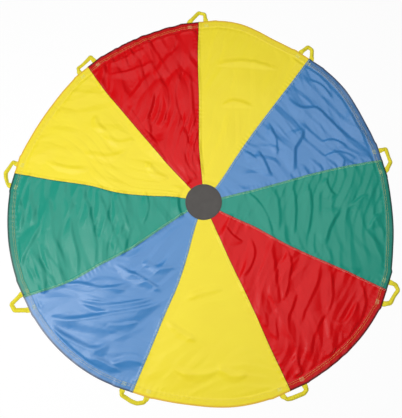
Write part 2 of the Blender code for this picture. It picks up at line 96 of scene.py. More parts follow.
# The hem's radius at each gore's first seam and a third and two thirds of the way across it
RIM_SHARES = (
    (1.027, 1.034, 0.997),
    (0.992, 0.990, 0.967),
    (0.967, 0.970, 0.987),
    (1.018, 1.023, 1.016),
    (1.011, 1.004, 0.985),
    (0.989, 1.007, 1.017),
    (1.017, 1.013, 1.008),
    (1.003, 0.981, 0.974),
    (0.987, 0.990, 1.002),
)

# How far each seam wanders clockwise of its straight line, at these shares of the radius
DRIFT_STATION_SHARES = (0.0, 0.15, 0.30, 0.45, 0.60, 0.80, 1.0)
SEAM_DRIFT_SHARES = (
    (0.0, -0.006, -0.015, -0.012, -0.009, -0.009, 0.0),
    (0.0, 0.005, -0.003, -0.007, -0.006, -0.002, 0.0),
    (0.0, -0.003, -0.004, -0.010, -0.016, -0.013, 0.0),
    (0.0, 0.004, 0.001, 0.010, 0.009, 0.002, 0.0),
    (0.0, 0.002, 0.003, 0.001, -0.001, 0.002, 0.0),
    (0.0, -0.006, -0.020, -0.025, -0.016, -0.009, 0.0),
    (0.0, -0.010, -0.025, -0.039, -0.036, -0.036, 0.0),
    (0.0, 0.004, -0.012, -0.019, -0.005, -0.005, 0.0),
    (0.0, -0.010, -0.017, -0.018, -0.017, -0.016, 0.0),
)

# Each loop's middle line: where it leaves the hem, its corners and where it returns. The
# first number is along the hem, clockwise, as a share of the spread, and a corner's second
# one is outward, as a share of the reach.
HANDLE_SHARES = (
    (-0.48, (0.06, 1.08), (0.35, 0.84), 0.37),
    (-0.53, (-0.40, 1.06), (-0.15, 1.02), 0.13),
    (-0.49, (-0.50, 0.70), (-0.04, 0.70), (0.18, 0.76), 0.53),
    (-0.37, (-0.36, 0.62), (-0.17, 1.02), (0.21, 0.76), (0.51, 0.66), 0.67),
    (-0.66, (-0.67, 0.44), (-0.50, 0.64), (0.11, 0.58), (0.29, 0.50), 0.42),
    (-0.67, (-0.61, 0.46), (-0.32, 0.76), (-0.05, 0.72), (0.43, 0.46), 0.46),
    (-0.58, (-0.29, 1.26), (0.02, 1.32), 0.22),
    (-0.64, (-0.56, 0.34), (-0.30, 0.68), (-0.07, 0.86), (0.54, 0.44), 0.46),
    (-0.52, (-0.42, 0.54), (-0.10, 0.50), (0.44, 0.66), 0.44),
)

# At each of those corners, how far the webbing leans and how far it is folded lengthwise,
# in degrees
HANDLE_TURNS = (
    ((8, 40), (-10, 38)),
    ((8, 40), (-8, 34)),
    ((8, 42), (16, 54), (-10, 34)),
    ((8, 38), (-10, 38), (12, 50), (0, 32)),
    ((-8, 36), (10, 44), (8, 40), (-10, 46)),
    ((8, 46), (0, 44), (-8, 40), (8, 46)),
    ((8, 36), (-6, 38)),
    ((-8, 48), (10, 44), (6, 36), (-6, 48)),
    ((8, 50), (-10, 40), (8, 36)),
)
HANDLE_GATHER_SHARE = 0.90      # a folded strap reaches less far out than a flat one

# The photograph's frame in pixels, and the camera: 80 degrees above the horizon
PHOTO_WIDTH = 402
PHOTO_HEIGHT = 418
CAMERA_LENS = 36.0
CAMERA_SENSOR = 36.0
CAMERA_TILT = math.radians(10)
CAMERA_DISTANCE = 1.97
CAMERA_AIM = (-0.0123, -0.0331, 0.0)

# The folds of each gore, as points of the photograph in pixels along the fold's steep face.
# Then the side on which the cloth falls away gently, 1 for the right of the line and -1 for
# its left, and the fold's size, from 1 for slight to 5 for strong.
FOLD_PIXELS = (
    # red gore left of the top seam
    (((182, 44), (170, 55), (160, 66), (152, 80)), -1, 5),
    (((166, 78), (154, 98), (149, 118), (154, 142)), 1, 5),
    (((186, 112), (180, 130), (174, 150), (172, 166)), 1, 5),
    (((190, 62), (192, 90), (194, 116), (197, 146)), 1, 4),
    (((185, 122), (189, 146), (193, 162), (199, 182)), 1, 4),
    (((187, 58), (176, 92), (180, 122), (171, 164)), 1, 4),
    (((106, 76), (132, 70), (158, 60)), 1, 2),
    (((124, 108), (136, 90), (152, 70)), 1, 4),
    (((124, 100), (142, 122), (156, 144), (172, 166)), 1, 4),
    (((104, 66), (124, 58), (150, 46)), 1, 2),
    (((174, 30), (176, 44), (170, 60)), 1, 2),
    # yellow gore right of the top seam
    (((210, 64), (244, 60), (282, 68)), 1, 1),
    (((216, 106), (234, 100), (256, 106)), 1, 1),
    # upper blue gore
    (((286, 94), (299, 107), (316, 108), (328, 118), (341, 131), (356, 136)), 1, 4),
    (((349, 107), (356, 123), (366, 136), (374, 145)), 1, 3),
    (((303, 121), (303, 134), (296, 148), (295, 162), (294, 178)), 1, 4),
    (((268, 120), (276, 140), (278, 160)), 1, 2),
    (((257, 148), (265, 162), (273, 179)), 1, 3),
    (((243, 150), (256, 158), (262, 168)), 1, 2),
    (((320, 157), (340, 152), (360, 160)), 1, 2),
    (((306, 78), (322, 86), (334, 100)), 1, 2),
    (((318, 142), (334, 140), (350, 148)), 1, 2),
    (((338, 150), (344, 160), (342, 170)), 1, 2),
    # right green gore
    (((273, 184), (278, 200), (280, 218), (279, 236)), 1, 4),
    (((292, 180), (296, 206), (294, 240)), 1, 2),
    (((306, 178), (312, 204), (308, 240)), 1, 2),
    (((326, 176), (330, 190), (338, 196)), 1, 2),
    (((343, 206), (331, 226), (325, 248)), 1, 4),
    (((346, 208), (358, 199), (368, 192)), 1, 2),
    (((366, 230), (374, 217), (382, 212)), 1, 2),
    (((244, 188), (257, 200), (268, 216), (275, 240)), 1, 2),
    (((336, 262), (346, 268), (362, 268)), 1, 1),
    # right red gore
    (((250, 234), (255, 252), (249, 270), (238, 280)), 1, 2),
    (((272, 238), (274, 262), (278, 288), (284, 308)), 1, 5),
    (((266, 240), (267, 262), (269, 290)), 1, 2),
    (((284, 240), (291, 262), (288, 286), (281, 312)), 1, 2),
    (((300, 288), (293, 306), (288, 322), (290, 342)), 1, 3),
    (((323, 262), (317, 284), (307, 306), (300, 328)), 1, 3),
    (((278, 308), (277, 324), (278, 342)), 1, 2),
    (((356, 296), (351, 312), (342, 322), (330, 319)), -1, 3),
    (((360, 278), (366, 302), (357, 330)), 1, 2),
    (((332, 308), (319, 324), (312, 344), (315, 366)), 1, 3),
    (((297, 352), (300, 368), (304, 380)), 1, 2),
    (((256, 308), (266, 316), (270, 330)), 1, 1),
    (((328, 338), (333, 350), (328, 362)), 1, 2),
    (((330, 266), (333, 292), (327, 318)), 1, 2),
    (((224, 224), (234, 236), (246, 242)), 1, 2),
    # bottom yellow gore
    (((166, 318), (182, 330), (200, 340)), 1, 1),
    (((182, 298), (206, 288), (228, 286)), 1, 1),
    (((172, 366), (196, 372), (224, 366)), 1, 1),
    (((214, 362), (232, 372), (250, 372)), 1, 1),
    # lower blue gore
    (((44, 310), (62, 317), (86, 316), (114, 311), (142, 306), (168, 299)), 1, 4),
    (((56, 286), (78, 282), (104, 287), (136, 281)), 1, 3),
    (((112, 262), (128, 270), (146, 279), (166, 292)), 1, 2),
    (((140, 258), (160, 266), (184, 262)), 1, 1),
    (((46, 321), (60, 331), (78, 341), (96, 347), (112, 340)), 1, 4),
    (((98, 322), (118, 323), (142, 320)), 1, 2),
    (((60, 332), (78, 346), (100, 358), (126, 372)), 1, 2),
    (((104, 364), (128, 357), (150, 362)), 1, 1),
    (((76, 300), (104, 304), (132, 301), (158, 296)), 1, 2),
    # left green gore
    (((50, 190), (53, 212), (54, 234), (62, 252), (70, 274)), 1, 3),
    (((87, 194), (92, 218), (97, 244), (96, 272)), 1, 3),
    (((71, 212), (74, 236), (79, 256), (78, 278)), 1, 2),
    (((46, 220), (34, 240), (24, 260), (20, 278)), 1, 3),
    (((18, 194), (24, 212), (21, 234)), 1, 2),
    (((40, 254), (46, 274), (46, 298)), 1, 2),
    (((98, 182), (107, 210), (116, 236), (126, 260)), 1, 3),
    (((146, 188), (149, 208), (143, 228)), 1, 2),
    (((116, 188), (124, 210), (132, 234)), 1, 2),
    # left yellow gore
    (((96, 114), (101, 126), (108, 130)), 1, 1),
    (((104, 134), (120, 141), (138, 137)), 1, 1),
    (((82, 150), (110, 155), (130, 147)), 1, 1),
    (((44, 158), (66, 166), (92, 168)), 1, 1),
    (((146, 160), (158, 172), (172, 178)), 1, 1),
)

# A fold's height, and how wide its steep face and its gentle side are in heights
FOLD_HEIGHT = 0.0035            # of a fold of no size
FOLD_GROWTH = 0.0028            # what each size adds to it
FOLD_STEEP_SHARES = (4.0, 1.5, 1.5, 1.6, 1.7)   # for the sizes from 1 to 5
FOLD_GENTLE_SHARE = 5.5
FOLD_STEPS = 4                  # lengths of line for each of its corners
FOLD_TIP_SHARE = 0.1            # how wide its gentle side still is at its two ends
FOLD_CLIMB_SHARE = 1.4          # how soon it reaches its whole height from an end
FOLD_FOOT_SHARE = 0.14          # so that it starts from the floor

# The crumple of each gore's cloth: how high it is, and the bearing along its creases in
# degrees. Creases of three spacings cross each other a little, drift and come in patches.
CRUMPLE_SHARES = (0.5, 1.1, 0.95, 1.8, 0.35, 0.85, 1.9, 0.8, 2.9)
CRUMPLE_BEARINGS = (20, 140, 178, 8, 60, 78, 172, 100, 168)
CREASE_SPACINGS = (0.110, 0.072, 0.046)
CREASE_FAN_DEGREES = (4, -13, 16)
CREASE_HEIGHT_SHARE = 0.066     # of its spacing
CREASE_STEEP_SHARE = 0.3        # of its spacing, for its steep face
CREASE_GORE_SHARE = 0.37        # of its spacing, from one gore's creases to the next one's
CREASE_DRIFT_SHARE = 0.8        # of its spacing
CREASE_DRIFT_LENGTH = 0.35
CREASE_MARGIN = 0.03            # over this the creases of a gore begin beside its seams
PATCH_LENGTH = 0.16
PATCH_CONTRAST = 1.5

# A low swell lies under the whole cloth. Nothing stands higher than the limit, and the
# folds are lower on the hem.
SWELL_HEIGHT = 0.008
SWELL_LENGTH = 0.240
SWELL_HOLLOW_SHARE = -0.25      # its hollows are cut off at this share of its height
MOST_HEIGHT = 0.020
HEM_FREE_SHARE = 0.3

# A noise is cut at a layer of its own for each use
DRIFT_LAYER = 1.7
FIRST_PATCH_LAYER = 5
PATCH_LAYER_STEP = 10.3
SWELL_LAYER = 4.1
HUB_LAYER = 2.7

# How the cloth settles. Simulated cloth keeps a gap of a millimetre or more to what it lies
# on, so it is simulated at ten times its size. Three quarters of the first shape are kept.
SHEET_SIZE = 1.96
SHEET_CELLS = 280
SETTLING_SCALE = 10
SETTLING_FRAMES = 10
CLOTH_SETTINGS = {
    "quality": 5,
    "mass": 0.2,
    "tension_stiffness": 15,
    "compression_stiffness": 15,
    "shear_stiffness": 5,
    "bending_stiffness": 0.6,
    "air_damping": 2,
}
CLOTH_SLACK_SHARE = 0.010       # how much the most crumpled cloth grows
CONTACT_GAP = 0.001
GROUND_DEPTH = 0.003
GROUND_FRICTION = 60
KEPT_SHARE = 0.75

# How finely the visible cloth is divided, and its thickness as it is seen
VISIBLE_ROWS = 180
VISIBLE_COLUMNS = 140
HEM_TOP_ROWS = 8
HEM_EDGE_ROWS = 5
HEM_UNDER_ROWS = 6
HEM_RAW_EDGE = 0.001            # the folded-under layer stops this short of the hem's width
LAP_COLUMN_SHARES = (0.75, 0.5) # columns between the lap's edge and its step
LAP_CREST = 0.0004              # one more, just before it steps down
TUCK_COLUMN_SHARES = (0.34, 0.67, 1)
TAFFETA_THICKNESS = 0.0004

# The webbing as it is seen: how finely its line is read, over how many of those steps its
# corners are rounded, and over what length it leans once it has left the hem
WEBBING_STEP = 0.0005
WEBBING_COLUMNS = 11
BEND_STEPS = 11
BEND_REACH = 0.016
RIB_SPACING = 0.0018
WAVE_TURN = 20                  # a wave pattern of scale 1 turns this many radians a metre
RIB_DEPTH = 0.00008
# Painted shade along the webbing's edges: how far in from them it reaches, and how dark it is
WEBBING_SHADE_WIDTH = 0.0025
WEBBING_SHADE_SHARE = 0.7          # how dark the painted shade along the webbing's edges is

# The hub's top disc: the small flat face in its middle, its innermost row underneath, a
# slight wave, and the groove that its stitching draws
HUB_SIDES = 160
HUB_TOP_ROWS = 28
HUB_EDGE_ROWS = 5
HUB_UNDER_ROWS = 5
HUB_MIDDLE = 0.0005
HUB_UNDER_INNER = 0.02
HUB_WAVE_HEIGHT = 0.0006
HUB_WAVE_LENGTH = 0.05
HUB_GROOVE_DEPTH = 0.0004
HUB_GROOVE_WIDTH = 0.002

# The sewing threads, their stitches, and the close lines of the tack boxes
THREAD_COLOURS = {"gold": "#DEC860", "lime": "#E0EBA6", "sage": "#C6D0BC", "brick": "#A04A38"}
THREAD_RADII = {"gold": 0.00028, "lime": 0.00042, "sage": 0.00036, "brick": 0.00028}
SEAM_THREADS = ("gold", "lime", "lime", "sage", "gold", "lime", "lime", "gold", "brick")
HUB_THREAD_COLOUR = "#3C3A38"
STITCH_LENGTH = 0.0030
STITCH_PITCH = 0.0038
HEM_STITCH_RADIUS = 0.00035
STITCH_RADIUS = 0.00028
STITCH_RISE = 0.0005
STITCH_SWAY = 0.12              # how far a stitch may turn out of its row, in radians
STITCH_SEED = 3
ROW_STEP = 0.004
TACK_LINE_SPACING = 0.0028
TACK_LINE_POINTS = 5
TACK_PITCH = 0.0032

# How much painted shade darkens the folded hem of each gore
HEM_SHADE_SHARES = (0.10, 0.40, 0.30, 0.25, 0.0, 0.10, 0.30, 0.05, 0.30)

# How dark the painted shade is beside each seam: on the gore below and on the gore above
SEAM_SHADE_SHARES = ((1.0, 0.0), (0.0, 0.2), (0.15, 0.2), (0.3, 0.6), (1.0, 0.0), (0.0, 0.1),
                     (0.0, 0.15), (1.0, 0.0), (0.1, 1.0))
EDGE_WIDTH = 0.003
RIM_EDGE_WIDTH = 0.003
RIM_EDGE_DARK = 0.0042          # the outermost part of the hem, rolled under, darkened with painted shade

# The gathers that the sewing draws. Slow waves shift them and make them come and go: so
# many radians a metre along a seam, and so many waves round the hem. A lag is from one
# seam to the next, and a slant is how far a gather leans beside its row, in radians a metre.
PUCKER_HEIGHT = 0.0016
PUCKER_LENGTH = 0.024
PUCKER_REACH = 0.020
SEAM_SHIFT = 2.3
SEAM_SHIFT_RATE = 31
SEAM_SHIFT_LAG = 2.1
SEAM_SLANT = 30
SEAM_PATCH_RATE = 17
SEAM_PATCH_LAG = 1.7
HEM_SHIFT_WAVES = ((2.5, 8), (1.7, 21))
HEM_SLANT = 40
HEM_PATCH_WAVES = (7, 3)
HEM_PATCH_LAG = 1
HEM_PATCH_SHARE = 0.3
HEM_PUCKER_SHARE = 0.6
LEAST_PUCKER_SHARE = 0.3

# Points of the floor have bearings that start this far before north, in radians
NORTH_MARGIN = 0.3

# Each taffeta's colour, its colour where it is worn, the colours of the painted shade on its
# folded hem and of the painted shade along its seams and its rim, and how much it shines
TAFFETA_FINISHES = {
    "yellow": ("#ECDB31", "#E8D22E", "#D9BE3C", "#D9AC34", 0.25),
    "blue": ("#357CBA", "#3177B4", "#3C5676", "#1B2C4A", 0.8),
    "green": ("#178F7A", "#168A76", "#2C6054", "#12302C", 0.33),
    "red": ("#D10005", "#C70008", "#861C19", "#3A0C12", 0.21),
}

# The finishes' patterns, by their real sizes. Taffeta's threads are a tenth of a millimetre
# apart, too fine to show, so its streaks are drawn ten times as wide. Webbing yarn and the
# plies of a thread are drawn at their own width.
CLOUD_SIZE = 0.14               # a stretch of taffeta that has faded alike
STREAK_WIDTH = 0.0011
STREAK_LENGTH = 0.083
TAFFETA_RELIEF = 0.0002
SMOOTHEST = 0.20                # roughness between the streaks
STREAK_ROUGHNESS = 0.16         # and what they add to it
DIRT_WIDTH = 0.017
DIRT_LENGTH = 0.011
DIRT_SHARE = 0.6
YARN_LENGTH = 0.004
YARN_WIDTH = 0.00067
WEBBING_RELIEF = 0.0003
SCUFF_SIZE = 0.036
VINYL_GRAIN = 0.0014
VINYL_RELIEF = 0.0003
PLY_WIDTH = 0.0004
PLY_RELIEF = 0.0001

# The pale floor and the light from all round
FLOOR_RADIUS = 12
FLOOR_SIDES = 96
FLOOR_DEPTH = 0.0002
FLOOR_COLOUR = "#EFEFEF"
FLOOR_GLOW_SHARE = 0.9          # how much of the floor that the camera sees is plain white
WHITE = "#FFFFFF"
STUDIO_LIGHT = 0.16

Seat = namedtuple("Seat", "bearing distance middle")


def smooth_through(places, values, place):
    """Read a smooth curve that runs through the values set at the given places."""
    places, values = np.asarray(places, float), np.asarray(values, float)
    index = np.arange(len(places))
    before, after = np.maximum(index - 1, 0), np.minimum(index + 1, len(places) - 1)
    slopes = (values[after] - values[before]) / (places[after] - places[before])
    start = np.clip(np.searchsorted(places, place) - 1, 0, len(places) - 2)
    span = places[start + 1] - places[start]
    share = (place - places[start]) / span
    square, cube = share ** 2, share ** 3
    return ((2 * cube - 3 * square + 1) * values[start]
            + (cube - 2 * square + share) * span * slopes[start]
            + (3 * square - 2 * cube) * values[start + 1]
            + (cube - square) * span * slopes[start + 1])


def ease(share):
    """A smooth step from 0 to 1."""
    share = np.clip(share, 0, 1)
    return share * share * (3 - 2 * share)


def on_bearing(bearing, radius):
    """Points of the floor at a bearing and a distance from the hub's middle."""
    return np.stack((radius * np.sin(bearing), radius * np.cos(bearing)), axis=-1)


def out_and_along(bearing):
    """The directions straight out at a bearing and clockwise across it."""
    outward = np.array((math.sin(bearing), math.cos(bearing)))
    return outward, np.array((outward[1], -outward[0]))


def seam_bearing(seam):
    """A seam's bearing where it is straight. Seams before the first and past the last are
    a turn away."""
    turns, index = divmod(seam, GORE_COUNT)
    return math.tau * (turns + index / GORE_COUNT) + math.radians(SEAM_LEAN_DEGREES[index])


def seam_bearing_at(seam, radius):
    """A seam's bearing part of the way out, where it wanders from its straight line."""
    stations = [CANOPY_RADIUS * share for share in DRIFT_STATION_SHARES]
    drifts = [CANOPY_RADIUS * share for share in SEAM_DRIFT_SHARES[seam % GORE_COUNT]]
    inside = np.clip(radius, HUB_RADIUS / 4, CANOPY_RADIUS)
    return seam_bearing(seam) + smooth_through(stations, drifts, inside) / inside


@lru_cache
def rim_curve():
    """The bearings and radii that the hem's curve runs through."""
    places, radii = [], []
    for gore in range(-1, GORE_COUNT + 1):
        start, end = seam_bearing(gore), seam_bearing(gore + 1)
        for third, share in enumerate(RIM_SHARES[gore % GORE_COUNT]):
            places.append(start + (end - start) * third / 3)
            radii.append(CANOPY_RADIUS * share)
    return places, radii


def curved_rim(bearing):
    """The hem's radius without its straight runs."""
    return smooth_through(*rim_curve(), bearing)


# The stretch of hem that a handle is sewn under is straight and lifted by the webbing
WIDEST_LEG_SHARE = max(max(abs(shape[0]), abs(shape[-1])) for shape in HANDLE_SHARES)
SEAT_HALF = HANDLE_SPREAD * WIDEST_LEG_SHARE + WEBBING_WIDTH / 2 + SEAT_MARGIN


def handle_seat(seam):
    """The straight run of hem over a handle: which way it faces, how far out it lies, and
    the point of it that the seam meets."""
    half_turn = SEAT_CHORD_SHARE * SEAT_HALF / CANOPY_RADIUS
    ends = [on_bearing(bearing, curved_rim(bearing))
            for bearing in (seam_bearing(seam) - half_turn, seam_bearing(seam) + half_turn)]
    along = (ends[1] - ends[0]) / np.linalg.norm(ends[1] - ends[0])
    outward = np.array((-along[1], along[0]))
    facing = math.atan2(outward[0], outward[1])
    distance = float(ends[0] @ outward)
    reach = distance / math.cos(seam_bearing(seam) - facing)
    return Seat(facing, distance, on_bearing(seam_bearing(seam), reach))


SEATS = [handle_seat(seam) for seam in range(GORE_COUNT)]


def rim_radius(bearing):
    """The hem's radius: straight over the handles, curved between them."""
    radius = curved_rim(bearing)
    for seam in range(-1, GORE_COUNT + 2):
        seat = SEATS[seam % GORE_COUNT]
        aside = np.abs(bearing - seam_bearing(seam)) * CANOPY_RADIUS
        turned = np.mod(bearing - seat.bearing + math.pi, math.tau) - math.pi
        straight = seat.distance / np.cos(np.clip(turned, -1, 1))
        radius = radius + (1 - ease((aside - SEAT_HALF) / SEAT_RAMP)) * (straight - radius)
    return radius


# The bases of the layered hub and of the hem over the webbing
SEWN_END_TOP = WEBBING_THICKNESS + SEATING_GAP
BACKING_TOP = HUB_THICKNESS + SEATING_GAP
CAP_BOTTOM = BACKING_TOP + 2 * (CLOTH_STEP + SEATING_GAP)
CAP_TOP = CAP_BOTTOM + HUB_THICKNESS
FOOT_RADIUS = HUB_RADIUS + HUB_MARGIN + HUB_SHOULDER


def hub_lift(flat):
    """How far the backing disc lifts the cloth."""
    out = np.linalg.norm(flat, axis=-1) - HUB_RADIUS - HUB_MARGIN
    return BACKING_TOP * (1 - ease(out / HUB_SHOULDER))


def seat_lift(flat):
    """How far the webbing ends lift the hem and the cloth beside it."""
    lift = np.zeros(flat.shape[:-1])
    for seat in SEATS:
        outward, along_hem = out_and_along(seat.bearing)
        aside = np.abs((flat - seat.middle) @ along_hem)
        inset = seat.distance - flat @ outward
        side = 1 - ease((aside - SEAT_HALF) / SEAT_RAMP)
        inner = 1 - ease((inset - HEM_WIDTH - HEM_STEP) / SEAT_RAMP)
        lift = np.maximum(lift, SEWN_END_TOP * side * inner * (flat @ outward > 0))
    return lift


def bearing_and_radius(flat):
    """Where points of the floor lie round the hub. Bearings start a little before north, so
    the rim's curve covers them all."""
    bearing = np.arctan2(flat[..., 0], flat[..., 1])
    bearing = np.mod(bearing + NORTH_MARGIN, math.tau) - NORTH_MARGIN
    return bearing, np.linalg.norm(flat, axis=-1)


def aside_of_seam(seam, bearing, radius):
    """How far clockwise of a seam's line points lie."""
    turned = bearing - seam_bearing_at(seam, radius)
    return (np.mod(turned + math.pi, math.tau) - math.pi) * radius


def puckers(flat):
    """The small gathers that the sewing draws along each seam and along the hem."""
    bearing, radius = bearing_and_radius(flat)
    height = np.zeros(radius.shape)
    for seam in range(GORE_COUNT):
        aside = aside_of_seam(seam, bearing, radius)
        shift = SEAM_SHIFT * np.sin(radius * SEAM_SHIFT_RATE + seam * SEAM_SHIFT_LAG)
        shift = shift + seam + aside * SEAM_SLANT
        ripple = (0.5 + 0.5 * np.sin(math.tau * radius / PUCKER_LENGTH + shift)) ** 2
        patch = 0.5 + 0.5 * np.sin(radius * SEAM_PATCH_RATE + seam * SEAM_PATCH_LAG)
        height += ripple * patch * np.exp(-(aside / PUCKER_REACH) ** 2)
    inset = rim_radius(bearing) - radius
    gathers = round(math.tau * CANOPY_RADIUS / PUCKER_LENGTH)
    shift = inset * HEM_SLANT
    for reach, waves in HEM_SHIFT_WAVES:
        shift = shift + reach * np.sin(waves * bearing)
    ripple = (0.5 + 0.5 * np.sin(gathers * bearing + shift)) ** 2
    many, few = HEM_PATCH_WAVES
    wave = np.sin(many * bearing) * np.sin(few * bearing + HEM_PATCH_LAG)
    patch = ease(HEM_PATCH_SHARE + wave)
    beside = np.exp(-((inset - HEM_WIDTH) / PUCKER_REACH) ** 2)
    height += HEM_PUCKER_SHARE * ripple * (LEAST_PUCKER_SHARE + patch) * beside
    return PUCKER_HEIGHT * height * ease((radius - FOOT_RADIUS) / HUB_SHOULDER)


def camera_axes():
    """The camera's place, and its right, up and forward directions."""
    right = np.array((1.0, 0.0, 0.0))
    up = np.array((0.0, math.cos(CAMERA_TILT), math.sin(CAMERA_TILT)))
    forward = np.array((0.0, math.sin(CAMERA_TILT), -math.cos(CAMERA_TILT)))
    return np.array(CAMERA_AIM) - CAMERA_DISTANCE * forward, right, up, forward


def floor_under_pixel(pixel):
    """The point of the floor that a pixel of the photograph shows."""
    place, right, up, forward = camera_axes()
    scale = CAMERA_SENSOR / CAMERA_LENS / PHOTO_HEIGHT
    ray = (forward + right * (pixel[0] - PHOTO_WIDTH / 2) * scale
           - up * (pixel[1] - PHOTO_HEIGHT / 2) * scale)
    return (place - ray * place[2] / ray[2])[:2]


def smooth_line(corners, steps):
    """Points along a smooth line through its corners."""
    places = np.arange(len(corners))
    along = np.linspace(0, places[-1], steps)
    columns = [smooth_through(places, [corner[k] for corner in corners], along)
               for k in (0, 1)]
    return np.stack(columns, axis=-1)


def fold_height(flat, corners, side, size):
    """One fold's height over points of the floor: steep across its line, gentle beside it,
    and lower towards its ends."""
    rise = FOLD_HEIGHT + FOLD_GROWTH * size
    steep = FOLD_STEEP_SHARES[size - 1] * rise
    gentle = FOLD_GENTLE_SHARE * rise
    line = smooth_line(corners, FOLD_STEPS * len(corners))
    steps = np.diff(line, axis=0)
    lengths = np.linalg.norm(steps, axis=1)
    gone = np.concatenate(([0], np.cumsum(lengths)))
    nearest = np.full(flat.shape[:-1], np.inf)
    signed = np.zeros(flat.shape[:-1])
    place = np.zeros(flat.shape[:-1])
    for start, step, length, before in zip(line, steps, lengths, gone):
        run = step / length
        offset = flat - start
        along = np.clip(offset @ run, 0, length)
        away = np.linalg.norm(offset - along[..., None] * run, axis=-1)
        right = offset @ np.array((run[1], -run[0]))
        closer = away < nearest
        nearest = np.where(closer, away, nearest)
        signed = np.where(closer, np.copysign(away, right), signed)
        place = np.where(closer, before + along, place)
    signed = signed * side
    taper = np.maximum(np.sin(math.pi * place / gone[-1]), FOLD_TIP_SHARE)
    rising = ease(signed / steep + 0.5)
    falling = 1 - ease((signed - steep / 2) / (gentle * taper))
    climbed = ease(FOLD_CLIMB_SHARE * taper - FOLD_FOOT_SHARE)
    return rise * climbed * rising * falling


def sheet_points():
    """The flat cloth's grid, row by row."""
    side = np.linspace(-SHEET_SIZE / 2, SHEET_SIZE / 2, SHEET_CELLS + 1)
    x, y = np.meshgrid(side, side)
    return np.stack((x, y), axis=-1)


def clear_shares(flat):
    """How clear points are of the hub and of the hem, each from 0 to 1."""
    bearing, radius = bearing_and_radius(flat)
    inset = rim_radius(bearing) - radius
    return (ease((radius - FOOT_RADIUS) / HUB_SHOULDER),
            ease((inset - HEM_WIDTH - HEM_STEP) / SEAT_RAMP))


def held_share(flat):
    """How firmly the cloth is held: wholly under the hub and along the sewn hem."""
    off_hub, off_hem = clear_shares(flat)
    return np.maximum(1 - off_hub, 1 - off_hem)


def free_share(flat):
    """How high the folds may stand: not at all on the hub or over the webbing, and low
    along the hem."""
    off_hub, off_hem = clear_shares(flat)
    sewn = seat_lift(flat) / SEWN_END_TOP
    return off_hub * (1 - sewn) * (HEM_FREE_SHARE + (1 - HEM_FREE_SHARE) * off_hem)


def noise_field(flat, length, layer):
    """A smooth noise over points of the floor, its patches about a length across."""
    return np.array([[noise.noise(Vector((x / length, y / length, layer))) for x, y in row]
                     for row in flat])


def crumple(flat):
    """Creases that cross each gore: flat facets that meet in ridges and valleys, and that
    come and go over it, on a low swell."""
    bearing, radius = bearing_and_radius(flat)
    drift = CREASE_DRIFT_SHARE * noise_field(flat, CREASE_DRIFT_LENGTH, DRIFT_LAYER)
    patches = []
    for number in range(len(CREASE_SPACINGS)):
        field = noise_field(flat, PATCH_LENGTH, PATCH_LAYER_STEP * number + FIRST_PATCH_LAYER)
        patches.append(ease(0.5 + PATCH_CONTRAST * field))
    height = np.zeros(radius.shape)
    for gore, (share, run) in enumerate(zip(CRUMPLE_SHARES, CRUMPLE_BEARINGS)):
        aside = np.minimum(aside_of_seam(gore, bearing, radius),
                           -aside_of_seam(gore + 1, bearing, radius))
        inside = share * ease(0.5 + aside / CREASE_MARGIN)
        for number, spacing in enumerate(CREASE_SPACINGS):
            across = out_and_along(math.radians(run + CREASE_FAN_DEGREES[number]))[1]
            crossed = flat @ across / spacing + drift * (1 + number) + CREASE_GORE_SHARE * gore
            part = np.mod(crossed, 1)
            facet = np.minimum(part / CREASE_STEEP_SHARE, (1 - part) / (1 - CREASE_STEEP_SHARE))
            height += inside * patches[number] * CREASE_HEIGHT_SHARE * spacing * facet
    swell = noise_field(flat, SWELL_LENGTH, SWELL_LAYER)
    return height + SWELL_HEIGHT * np.maximum(swell, SWELL_HOLLOW_SHARE)


def first_folds(flat):
    """The folds before the cloth settles: those in the photograph and the crumple."""
    height = np.zeros(flat.shape[:-1])
    for pixels, side, size in FOLD_PIXELS:
        corners = [floor_under_pixel(pixel) for pixel in pixels]
        height = np.maximum(height, fold_height(flat, corners, side, size))
    whole = (height + crumple(flat)) * free_share(flat)
    return MOST_HEIGHT * np.tanh(whole / MOST_HEIGHT)


